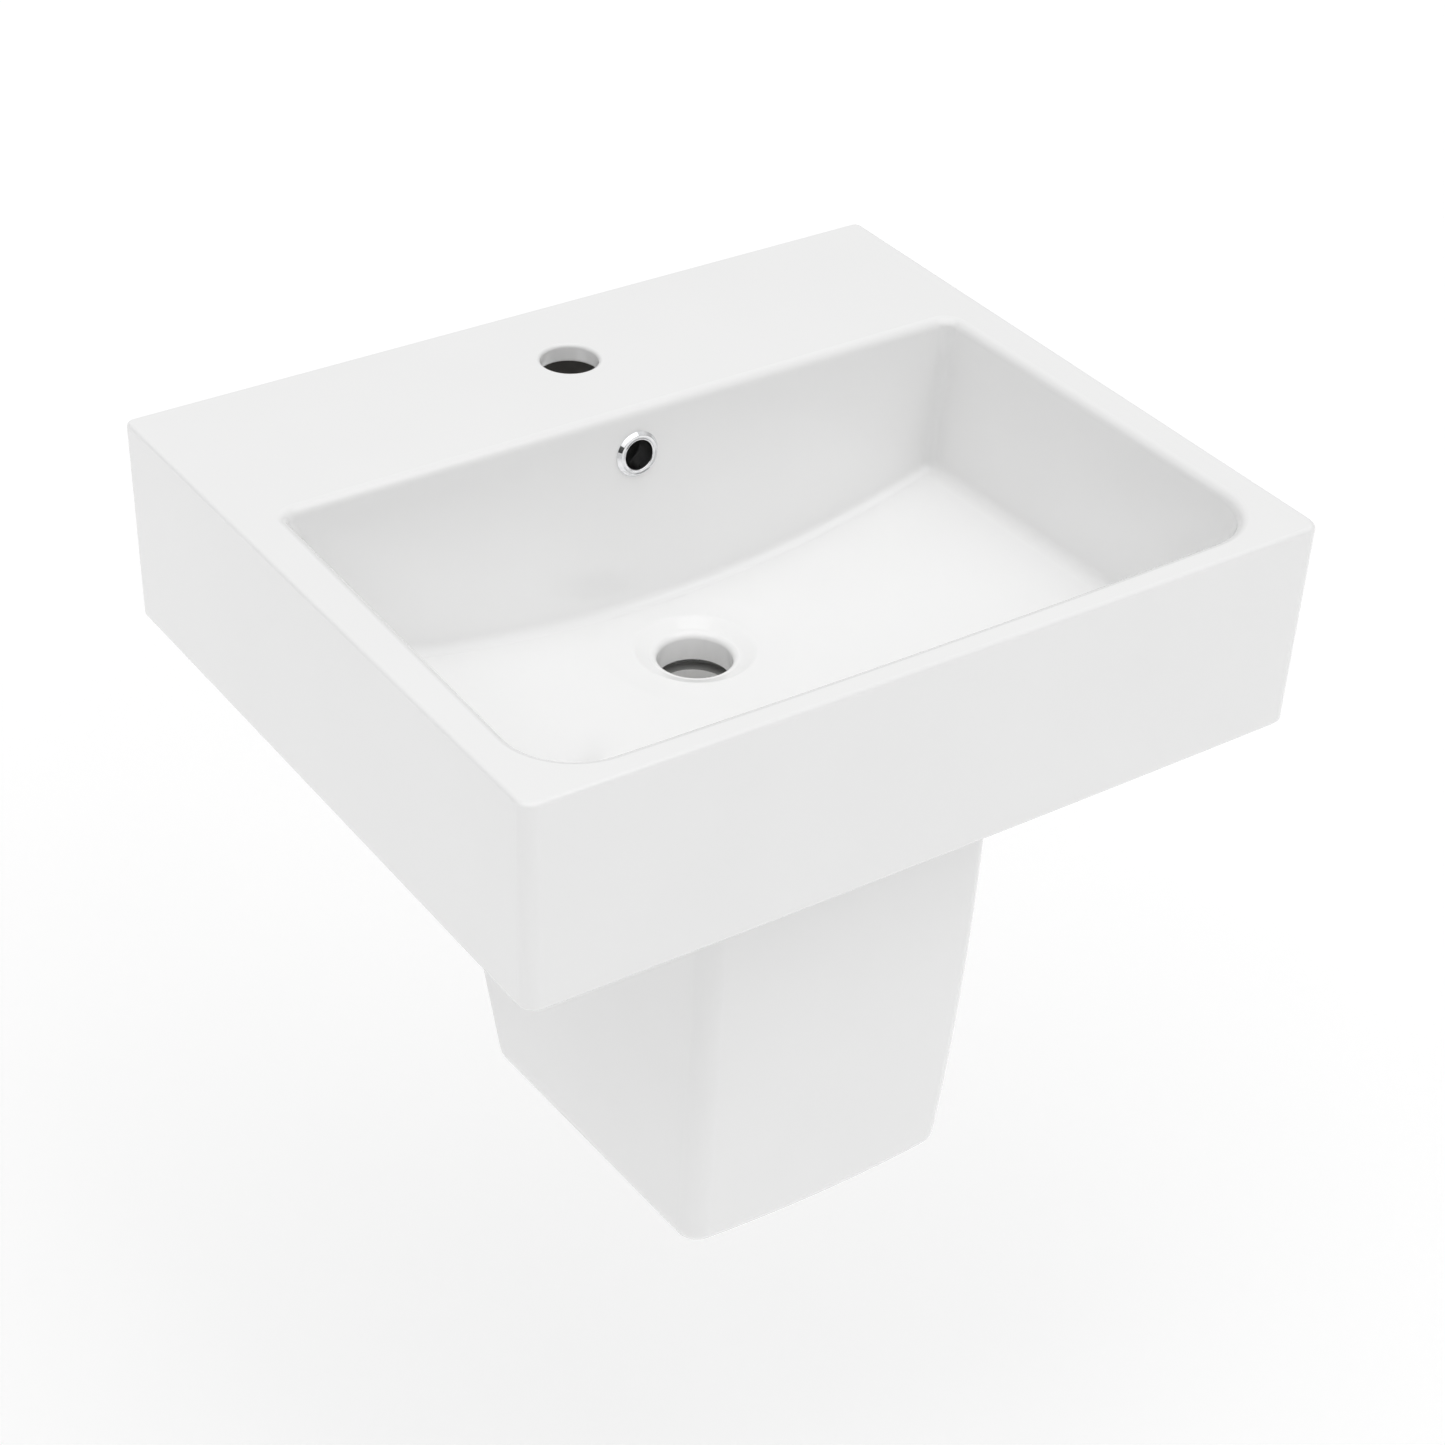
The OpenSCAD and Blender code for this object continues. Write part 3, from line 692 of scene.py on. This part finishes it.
def add_underside(piece):
    """Everything under the deck and the bowl that is joined to them."""
    duct_x = (-DUCT_HALF_W, DUCT_HALF_W)
    under_bowl = RIM_Z - BOWL_H - CHINA_T / 2
    combine(piece, block(duct_x, (-DECK_D - CHINA_T, -DUCT_REAR), (RIM_Z - DUCT_LOW, RIM_Z - DECK_T / 2),
                         4 * MM), "UNION")
    combine(piece, block(duct_x, (WASTE.y, -DUCT_REAR), (RIM_Z - DUCT_LOW, under_bowl), 4 * MM), "UNION")
    flipped = Matrix.Diagonal((1, 1, -1, 1))
    boss = disc(BOSS_R, BOWL_H + CHINA_T / 2, BOSS_DEPTH, 3 * MM)
    combine(piece, reversed_faces(placed(boss, at_outlet() @ flipped)), "UNION")
    for side in SIDES:
        wall_boss = disc(WALL_BOSS_R, PANEL_T / 2, WALL_BOSS_T, 3 * MM)
        combine(piece, placed(wall_boss, along_y(side * BASIN_BOLT.x, BASIN_BOLT.z)), "UNION")
        rib = block((side * RIB_X - RIB_T / 2, side * RIB_X + RIB_T / 2),
                    (-DECK_D + CHINA_T / 2, -PANEL_T / 2), (RIM_Z - RIB_DEPTH, RIM_Z - DECK_T / 2), 2 * MM)
        combine(piece, rib, "UNION")


def reversed_faces(bm):
    """Turns the faces of a mirrored mesh right side out."""
    bmesh.ops.reverse_faces(bm, faces=bm.faces)
    return bm


def cut_overflow_way(piece):
    """The hole in the back wall, the duct behind it and the chamber around the outlet."""
    chamber = eased([(0.5 * WASTE_R, -GAP_LOW), (GAP_R, -GAP_LOW), (GAP_R, -GAP_TOP),
                     (0.5 * WASTE_R, -GAP_TOP)], 1.5 * MM)
    combine(piece, placed(revolve(chamber), at_outlet()), "DIFFERENCE")
    duct_x = (-DUCT_HOLE_HALF_W, DUCT_HOLE_HALF_W)
    duct_z = (RIM_Z - GAP_LOW + 0.3 * MM, RIM_Z - DECK_T - CHINA_T)
    combine(piece, block(duct_x, DUCT_HOLE, duct_z, 2 * MM), "DIFFERENCE")
    run = block(duct_x, (WASTE.y + 24 * MM, -120 * MM),
                (RIM_Z - GAP_LOW + 0.5 * MM, RIM_Z - GAP_TOP - 0.5 * MM))
    combine(piece, run, "DIFFERENCE")
    combine(piece, placed(disc(OVERFLOW_R, -OVERFLOW_L, 4 * MM), on_back_wall()), "DIFFERENCE")


# places in the basin's list of materials, of which the pedestal has the first two
GLAZE, BISQUE, SHADOWED, PAINTED_DUCT_SHADE, GLAZE_WITH_PAINTED_SHADE = range(5)


def basin_finish(centre, normal):
    """Which of the basin's materials a face takes."""
    slack = 0.5 * MM
    depth = RIM_Z - centre.z
    if centre.y > -slack and normal.y > 0.5:
        return BISQUE
    tunnel = on_back_wall().inverted() @ centre
    if math.hypot(tunnel.x, tunnel.y) < OVERFLOW_R + slack and -OVERFLOW_L < tunnel.z < -0.6 * MM:
        # painted shade inside the overflow's tunnel
        return PAINTED_DUCT_SHADE
    duct_wide = abs(centre.x) < DUCT_HOLE_HALF_W + slack
    duct_deep = DUCT_HOLE[0] - slack < centre.y < DUCT_HOLE[1] + slack
    if duct_wide and duct_deep and DECK_T + 9 * MM < depth < GAP_LOW:
        # painted shade inside the duct
        return PAINTED_DUCT_SHADE
    from_outlet = math.hypot(centre.x - WASTE.x, centre.y - WASTE.y)
    if WASTE_R + slack < from_outlet < GAP_R + slack and GAP_TOP - 1 * MM < depth < GAP_LOW + 1 * MM:
        # painted shade in the chamber around the outlet
        return GLAZE_WITH_PAINTED_SHADE
    behind_bowl = -DECK_D - BACK_LEAN * depth + CHINA_T / 2 < centre.y < -PANEL_T / 2
    inside_apron = abs(centre.x) < HALF_W - 13.5 * MM and DECK_T - 0.3 * MM < depth < APRON_H - 4 * MM
    # painted shade in the hollow behind the bowl
    return SHADOWED if behind_bowl and inside_apron else GLAZE


def make_basin():
    piece = to_object("basin_china", shell())
    combine(piece, pocket(), "DIFFERENCE")
    combine(piece, bowl_body(), "UNION")
    add_underside(piece)
    combine(piece, bowl_hollow(), "DIFFERENCE")
    shank = through_hole(TAP_R, TAP_EDGE_R, DECK_T)
    combine(piece, placed(shank, Matrix.Translation((TAP.x, TAP.y, RIM_Z))), "DIFFERENCE")
    cut_overflow_way(piece)
    for side in SIDES:
        bolt_hole = disc(SLEEVE_HOLE_R, -1 * MM, WALL_BOSS_T + 1 * MM, steps=48)
        combine(piece, placed(bolt_hole, along_y(side * BASIN_BOLT.x, BASIN_BOLT.z)), "DIFFERENCE")
    weld(piece)
    finish_piece(piece, "basin", (glaze, bisque, shadowed, painted_duct_shade, glaze_with_painted_shade))
    for face in piece.data.polygons:
        face.material_index = basin_finish(face.center, face.normal)


# ---------------------------------------------------------------- half pedestal
def rear_y(depth):
    """Place of the slanting rear edges at a depth below the rim."""
    return -lerp(REAR_TOP, REAR_LOW, (depth - APRON_H) / (PEDESTAL_DEPTH - APRON_H))


def pedestal_sizes(depth):
    """Place of the front face and half its width at a depth below the rim."""
    turn = max((depth - APRON_H) / (PEDESTAL_DEPTH - APRON_H), 0) ** PEDESTAL_CURVE
    return -PEDESTAL_FRONT + PEDESTAL_SETBACK * turn, PEDESTAL_HALF_W - PEDESTAL_NARROWING * turn


def pedestal_outline(depth, inset, back, back_r):
    front, front_half = pedestal_sizes(depth)
    back_half = front_half + PEDESTAL_SPLAY * (back - front)
    return outline((back_half - inset, front_half - inset), (back, front + inset),
                   (back_r, max(PEDESTAL_CORNER_R - inset, 4 * MM)), PEDESTAL_BOW, deep=20)


def pedestal_ring(depth, inset):
    return at_depth(pedestal_outline(depth, inset, rear_y(depth) - inset, 4 * MM), depth)


def hollow_ring(depth, inset):
    """Ring of the pedestal's inside. It runs out through the rear, flaring to round its edges."""
    back = rear_y(depth)
    shaped = pedestal_outline(depth, inset, back - REAR_FLARE, 0.5 * MM)
    reach = max(p.x for p in shaped)
    last = 2 * ARC_STEPS + CROSS_STEPS
    # the first and the second corner are the rear ones: swing them outwards as quarter circles
    for n in range(ARC_STEPS + 1):
        a = math.radians(90 * n / ARC_STEPS)
        x = reach + REAR_FLARE * (1 - math.cos(a))
        y = back - REAR_FLARE + (REAR_FLARE + 0.1 * MM) * math.sin(a)
        shaped[n] = Vector((x, y))
        shaped[last - n] = Vector((-x, y))
    for n in range(1, CROSS_STEPS):
        x = lerp(shaped[ARC_STEPS].x, -shaped[ARC_STEPS].x, n / CROSS_STEPS)
        shaped[ARC_STEPS + n] = Vector((x, back + 0.2 * MM))
    return at_depth(shaped, depth)


def pedestal_loft(ring, top, low, edge_r, inset):
    """A closed body of rings from top to low, with a rounded lower edge."""
    levels = 18
    rings = [ring(lerp(top, low - edge_r, k / levels), inset) for k in range(levels + 1)]
    rings += [ring(low - edge_r * (1 - math.sin(a)), inset + edge_r * (1 - math.cos(a)))
              for a in swing(8)[1:]]
    return loft(rings)


def floor_cylinder(t):
    """A large cylinder along Y, level with the bowl's floor when t is 0."""
    radius, half = FLOOR_ARC_R + t, 0.25
    turn = Matrix.Translation((0, -half, RIM_Z + FLOOR_ARC_Z)) @ Matrix.Rotation(math.radians(90), 4, "X")
    return placed(disc(radius, -half, half, steps=720), turn)


def pedestal_finish(centre, normal):
    """Glaze outside, bare china inside and on the edge that meets the basin."""
    depth = RIM_Z - centre.z
    front, front_half = pedestal_sizes(depth)
    wall_x = front_half + PEDESTAL_SPLAY * (centre.y - front) - 0.6 * PEDESTAL_T
    inside = abs(centre.x) < wall_x and centre.y > front + 0.3 * PEDESTAL_T
    bare = normal.z > 0.9 or (inside and depth < PEDESTAL_DEPTH - 0.6 * PEDESTAL_T)
    return BISQUE if bare else GLAZE


def make_pedestal():
    piece = to_object("pedestal_china", pedestal_loft(pedestal_ring, PEDESTAL_TOP, PEDESTAL_DEPTH,
                                                      PEDESTAL_EDGE_R, 0))
    inside = pedestal_loft(hollow_ring, PEDESTAL_TOP - 2 * MM, PEDESTAL_DEPTH - PEDESTAL_T - 1 * MM,
                           PEDESTAL_EDGE_R - 2 * MM, PEDESTAL_T)
    combine(piece, inside, "DIFFERENCE")
    front, front_half = pedestal_sizes(RIM_Z - PEDESTAL_STUD.z)
    wall_x = front_half + PEDESTAL_SPLAY * (-LUG_Y[1] - front) - PEDESTAL_T / 2
    for side in SIDES:
        lug = block(sorted((side * LUG_IN_X, side * wall_x)), (-LUG_Y[1], -LUG_Y[0]),
                    (PEDESTAL_STUD.z - LUG_HALF_H, PEDESTAL_STUD.z + LUG_HALF_H), 2.5 * MM)
        combine(piece, lug, "UNION")
        hole = disc(LUG_HOLE_R, LUG_Y[0] - 4 * MM, LUG_Y[1] + 4 * MM, steps=48)
        combine(piece, placed(hole, along_y(side * PEDESTAL_STUD.x, PEDESTAL_STUD.z)), "DIFFERENCE")
    combine(piece, floor_cylinder(CHINA_T + PAD_T), "DIFFERENCE")
    weld(piece)
    finish_piece(piece, "half_pedestal", (glaze, bisque))
    for face in piece.data.polygons:
        face.material_index = pedestal_finish(face.center, face.normal)


# ---------------------------------------------------------------- overflow ring and pads
def make_overflow_ring():
    """Trim of the overflow: a grooved neck and a flange with a rounded crest and a shallow flute."""
    low, high = GROOVE
    section = [(RING_HOLE_R, -NECK_L), (NECK_R, -NECK_L), (NECK_R, low), (GROOVE_R, low),
               (GROOVE_R, high), (NECK_R, high), (NECK_R, 0)]

    def bend(r, z, size, start, end):
        return [(r + size * math.cos(math.radians(d)), z + size * math.sin(math.radians(d)))
                for d in range(start, end + 1, 15)]

    foot = bend(RING_R - FOOT_EDGE_R, FOOT_EDGE_R, FOOT_EDGE_R, -90, 30)
    crest = bend(CREST_R, RING_T - FLANGE_EDGE_R, FLANGE_EDGE_R, 30, 105)
    flute = [(r, RING_T - depth) for r, depth in FLUTE]
    lip = bend(RING_HOLE_R + FLANGE_EDGE_R, RING_T - FLANGE_EDGE_R, FLANGE_EDGE_R, 75, 180)
    body = revolve(section + foot + crest + flute + lip)
    piece = to_object("overflow_ring_trim", placed(body, on_back_wall()))
    finish_piece(piece, "overflow_ring", (chrome,))


def make_o_ring():
    body = tube(GROOVE_R, OVERFLOW_R, *GROOVE, 0.6 * MM)
    piece = to_object("overflow_seal", placed(body, on_back_wall()))
    finish_piece(piece, "overflow_o_ring", (rubber,))


def make_pad(side, end):
    """Rubber strip on the pedestal's upper edge, bent to the curve of the bowl's underside."""
    y = PAD_Y[end]
    half_x, half_y = PAD_SIZE[0] / 2, PAD_SIZE[1] / 2
    x = PEDESTAL_HALF_W + PEDESTAL_SPLAY * (y + PEDESTAL_FRONT) - PEDESTAL_T / 2
    ease = 0.5 * MM

    def ring(share, inset):
        plan = outline((half_x - inset, half_x - inset), (half_y - inset, inset - half_y),
                       (1.5 * MM, 1.5 * MM), arc=5, cross=4, deep=10)
        return [Vector((side * x + p.x, y + p.y, RIM_Z + floor_height(side * x + p.x,
                                                                      CHINA_T + share * PAD_T)))
                for p in plan]

    edges = [(ease / PAD_T * (1 - math.cos(a)), ease * (1 - math.sin(a))) for a in swing(3)]
    rings = [ring(*e) for e in edges] + [ring(1 - share, inset) for share, inset in reversed(edges)]
    piece = to_object(f"buffer_{end}_{SIDE_NAME[side]}", loft(rings))
    finish_piece(piece, f"buffer_pad_{end}_{SIDE_NAME[side]}", (rubber,))


# ---------------------------------------------------------------- fixings
def thread(crest, depth, pitch):
    """Radius of a screw thread: flat crests, flat roots and slanting flanks between them."""
    def radius(angle, height):
        turn = (height / pitch - angle / (2 * math.pi)) % 1
        return crest - depth * min(max(3 * abs(2 * turn - 1) - 1, 0), 1)
    return radius


def wood_screw(crest, depth, pitch, tip):
    """A thread that runs out to a point at the height tip."""
    coarse = thread(crest, depth, pitch)
    return lambda angle, height: coarse(angle, height) * min(0.2 + 0.8 * (height - tip) / NOSE, 1)


def heights(low, high, step):
    count = max(round((high - low) / step), 1)
    return [lerp(low, high, k / count) for k in range(count + 1)]


def make_hanger_bolt(name, r, pitch, thread_from, end, place):
    screw = wood_screw(0.92 * r, 0.22 * r, 3.6 * MM, -SCREW_L)
    fine = thread(r, 0.6 * pitch, pitch)
    profile = [(0, -SCREW_L)]
    profile += [(screw, z) for z in heights(-SCREW_L, -9 * MM, 0.6 * MM)]
    profile += [(0.9 * r, -8 * MM), (0.97 * r, -7 * MM), (0.97 * r, thread_from - 1 * MM)]
    profile += [(fine, z) for z in heights(thread_from, end - 1.2 * MM, pitch / 6)]
    profile += [(0.88 * r, end - 0.9 * MM), (0.74 * r, end), (0, end)]
    piece = to_object(f"{name}_rod", placed(revolve(profile, 28), place))
    finish_piece(piece, name, (zinc,), 50)


def make_wall_plug(name, size, bore_r, place):
    """Expansion plug: a collar, barbs that grip the wall and four slots along its sides."""
    radius, length = size

    def barbed(angle, height):
        barb = 0.94 + 0.06 * ((-height / (4 * MM)) % 1)
        slot = 0.14 * max(0, 1 - 5 * abs(math.sin(2 * angle)))
        return radius * (barb - (slot if height < -12 * MM else 0))

    profile = [(0, -SCREW_L - 1 * MM), (bore_r, -SCREW_L - 1 * MM), (bore_r, -0.4 * MM)]
    profile += [(bore_r + 0.4 * MM, 0), (radius - 0.5 * MM, 0), (radius, -0.5 * MM), (radius, -2.5 * MM)]
    profile += [(barbed, z) for z in heights(-3 * MM, NOSE - length, -1 * MM)]
    profile += [(0.86 * radius, NOSE - length - 1 * MM), (0.6 * radius, -length), (0, -length)]
    piece = to_object(f"{name}_body", placed(revolve(profile, 48), place))
    finish_piece(piece, name, (nylon,), 30)


def make_nut(name, size, bore_r, low, place):
    """Hexagon nut with both faces chamfered and a countersunk bore."""
    width, height = size
    sink = 0.6 * MM

    def hexagon(angle, z):
        side = (angle + math.pi / 6) % (math.pi / 3) - math.pi / 6
        from_face = min(z - low, low + height - z)
        return min(width / 2 / math.cos(side), 0.475 * width + 1.73 * from_face)

    step = 0.25 * MM
    outer = heights(low, low + 5 * step, step) + heights(low + height - 5 * step, low + height, step)
    profile = [(hexagon, z) for z in outer]
    profile += [(bore_r + sink, low + height), (bore_r, low + height - sink)]
    profile += [(bore_r, low + sink), (bore_r + sink, low)]
    piece = to_object(f"{name}_hex", placed(revolve(profile, 72), place))
    finish_piece(piece, name, (zinc,), 25)


def make_washer(name, size, bore_r, low, place):
    body = tube(bore_r, size[0], low, low + size[1], 0.35 * MM)
    piece = to_object(f"{name}_disc", placed(body, place))
    finish_piece(piece, name, (zinc,), 40)


def make_shouldered(name, material, bore_r, neck_r, shoulder_r, along, place):
    """Sleeve or bush: a neck in a hole and a shoulder in front of it. along is its three places."""
    start, step, end = along
    section = [(bore_r, start), (neck_r, start), (neck_r, step), (shoulder_r, step), (shoulder_r, end),
               (bore_r, end)]
    piece = to_object(f"{name}_collar", placed(revolve(eased(section, 0.6 * MM)), place))
    finish_piece(piece, name, (material,), 50)


def make_nut_cap(name, place):
    """Snap-on plastic dome over the nut, hollow, with a small bead around its foot."""
    radius, height = CAP
    low, high = M10_WASHER_FRONT, M10_WASHER_FRONT + height
    edge, bead = 6 * MM, 0.7 * MM
    outer = [(radius, low), (radius, low + 2 * MM), (radius - bead, low + 2.8 * MM)]
    outer += [(radius - bead - edge * (1 - math.cos(a)), high - edge * (1 - math.sin(a)))
              for a in swing(10)]
    inner = [(max(r - CAP_WALL, 0), z - CAP_WALL) for r, z in reversed(outer[3:])]
    inner += [(radius - bead - CAP_WALL, low)]
    profile = [(0, inner[0][1])] + inner + outer + [(0, high)]
    piece = to_object(f"{name}_dome", placed(revolve(profile), place))
    finish_piece(piece, name, (white_plastic,), 40)


def make_basin_fixing(side):
    place = along_y(side * BASIN_BOLT.x, BASIN_BOLT.z)
    name = SIDE_NAME[side]
    make_wall_plug(f"basin_wall_plug_{name}", M10_PLUG, M10_R, place)
    make_hanger_bolt(f"basin_hanger_bolt_{name}", M10_R, 1.5 * MM, 8 * MM, M10_END, place)
    make_shouldered(f"basin_bolt_sleeve_{name}", white_plastic, M10_R + BORE_PLAY,
                    SLEEVE_HOLE_R, SHOULDER[0], (1 * MM, WALL_BOSS_T, SLEEVE_FRONT), place)
    make_washer(f"basin_washer_{name}", M10_WASHER, M10_R + BORE_PLAY, SLEEVE_FRONT, place)
    make_nut(f"basin_nut_{name}", M10_NUT, M10_R, M10_WASHER_FRONT, place)
    make_nut_cap(f"basin_nut_cap_{name}", place)


def make_pedestal_fixing(side):
    place = along_y(side * PEDESTAL_STUD.x, PEDESTAL_STUD.z)
    name = SIDE_NAME[side]
    make_wall_plug(f"pedestal_wall_plug_{name}", M8_PLUG, M8_R, place)
    make_hanger_bolt(f"pedestal_hanger_bolt_{name}", M8_R, 1.25 * MM, 62 * MM, M8_END, place)
    make_nut(f"pedestal_stop_nut_{name}", M8_NUT, M8_R, REAR_WASHER_BACK - M8_NUT[1], place)
    make_washer(f"pedestal_rear_washer_{name}", M8_WASHER, M8_R + BORE_PLAY, REAR_WASHER_BACK, place)
    make_shouldered(f"pedestal_bush_{name}", rubber, M8_R + BORE_PLAY, LUG_HOLE_R,
                    BUSH_SHOULDER[0], (*LUG_Y, BUSH_FRONT), place)
    make_washer(f"pedestal_front_washer_{name}", M8_WASHER, M8_R + BORE_PLAY, BUSH_FRONT, place)
    make_nut(f"pedestal_front_nut_{name}", M8_NUT, M8_R, M8_WASHER_FRONT, place)


make_basin()
make_pedestal()
make_overflow_ring()
make_o_ring()
for side in SIDES:
    make_basin_fixing(side)
    make_pedestal_fixing(side)
    for end in PAD_Y:
        make_pad(side, end)

# ---------------------------------------------------------------- stage
STAGE_Z = RIM_Z - 0.85
STAGE_REACH = 100.0
STAGE_TONES = ((0.97, 0.97, 0.97), (0.98, 0.98, 0.98))
STAGE_GLOW = 0.08

# the sky's strength by height, and the darker patch of it that lies behind the camera
SKY_HEIGHT = (0, 0.7)
SKY_STRENGTH = (0.32, 0.77)
PATCH_DIRECTION = (-0.66, -0.74, 0.1)
PATCH_EDGE = (0.55, 0.92)
PATCH_SHARE = (1, 0.15)

OVERHEAD_ENERGY = 1.1
OVERHEAD_ANGLE = math.radians(80)
OVERHEAD_DIRECTION = (0.2, 0.42, -1)

CAMERA_AZIMUTH = math.radians(-35.53)
CAMERA_ELEVATION = math.radians(34.46)
CAMERA_ROLL = math.radians(2.577)
CAMERA_TARGET = Vector((0.0021, -0.234, RIM_Z - 0.1639))
CAMERA_DISTANCE = 1.923
CAMERA_LENS = 81.1


def make_floor():
    """A wide, pale floor well below the basin, where a bathroom's floor would be."""
    mesh = bpy.data.meshes.new("floor")
    corners = [(x * STAGE_REACH, y * STAGE_REACH, STAGE_Z) for x, y in ((-1, -1), (1, -1), (1, 1), (-1, 1))]
    mesh.from_pydata(corners, [], [(0, 1, 2, 3)])
    floor = bpy.data.objects.new("floor", mesh)
    bpy.context.scene.collection.objects.link(floor)
    material, nodes, links, shader = new_material("floor_paint")
    tinted(nodes, links, noise(nodes, links, 2, 2), *STAGE_TONES, shader.inputs["Base Color"])
    shader.inputs["Roughness"].default_value = 0.9
    shader.inputs["Specular IOR Level"].default_value = 0.1
    shader.inputs["Emission Color"].default_value = (1, 1, 1, 1)
    shader.inputs["Emission Strength"].default_value = STAGE_GLOW
    mesh.materials.append(material)


def make_sky():
    """A soft sky, dimmer near the horizon and most of all behind the camera."""
    world = bpy.data.worlds.new("studio")
    world.use_nodes = True
    nodes, links = world.node_tree.nodes, world.node_tree.links
    place = nodes.new("ShaderNodeTexCoord")
    height = nodes.new("ShaderNodeSeparateXYZ")
    links.new(place.outputs["Generated"], height.inputs["Vector"])
    toward_patch = nodes.new("ShaderNodeVectorMath")
    toward_patch.operation = "DOT_PRODUCT"
    toward_patch.inputs[1].default_value = PATCH_DIRECTION
    links.new(place.outputs["Generated"], toward_patch.inputs[0])
    product = nodes.new("ShaderNodeMath")
    product.operation = "MULTIPLY"
    links.new(graded(nodes, links, height.outputs["Z"], SKY_HEIGHT, SKY_STRENGTH, smooth=True),
              product.inputs[0])
    links.new(graded(nodes, links, toward_patch.outputs["Value"], PATCH_EDGE, PATCH_SHARE, smooth=True),
              product.inputs[1])
    sky = nodes["Background"]
    sky.inputs["Color"].default_value = (1, 1, 1, 1)
    links.new(product.outputs["Value"], sky.inputs["Strength"])
    bpy.context.scene.world = world


def make_overhead_light():
    """A very broad light above, a little in front and to the left."""
    data = bpy.data.lights.new("overhead_light", "SUN")
    data.energy = OVERHEAD_ENERGY
    data.angle = OVERHEAD_ANGLE
    lamp = bpy.data.objects.new("overhead_light", data)
    lamp.location = (0, 0, 3)
    lamp.rotation_mode = "QUATERNION"
    lamp.rotation_quaternion = Vector(OVERHEAD_DIRECTION).to_track_quat("-Z", "Y")
    bpy.context.scene.collection.objects.link(lamp)


def make_camera():
    """The viewpoint: to the left of the front and above, looking down on the bowl."""
    level = math.cos(CAMERA_ELEVATION)
    back = Vector((math.sin(CAMERA_AZIMUTH) * level, -math.cos(CAMERA_AZIMUTH) * level,
                   math.sin(CAMERA_ELEVATION)))
    data = bpy.data.cameras.new("camera")
    data.sensor_width = 36
    data.lens = CAMERA_LENS
    camera = bpy.data.objects.new("camera", data)
    camera.location = CAMERA_TARGET + CAMERA_DISTANCE * back
    camera.rotation_mode = "QUATERNION"
    upright = (-back).to_track_quat("-Z", "Y")
    camera.rotation_quaternion = upright @ Matrix.Rotation(CAMERA_ROLL, 3, "Z").to_quaternion()
    bpy.context.scene.collection.objects.link(camera)
    bpy.context.scene.camera = camera


make_floor()
make_sky()
make_overhead_light()
make_camera()
bpy.context.scene.view_settings.view_transform = "Standard"
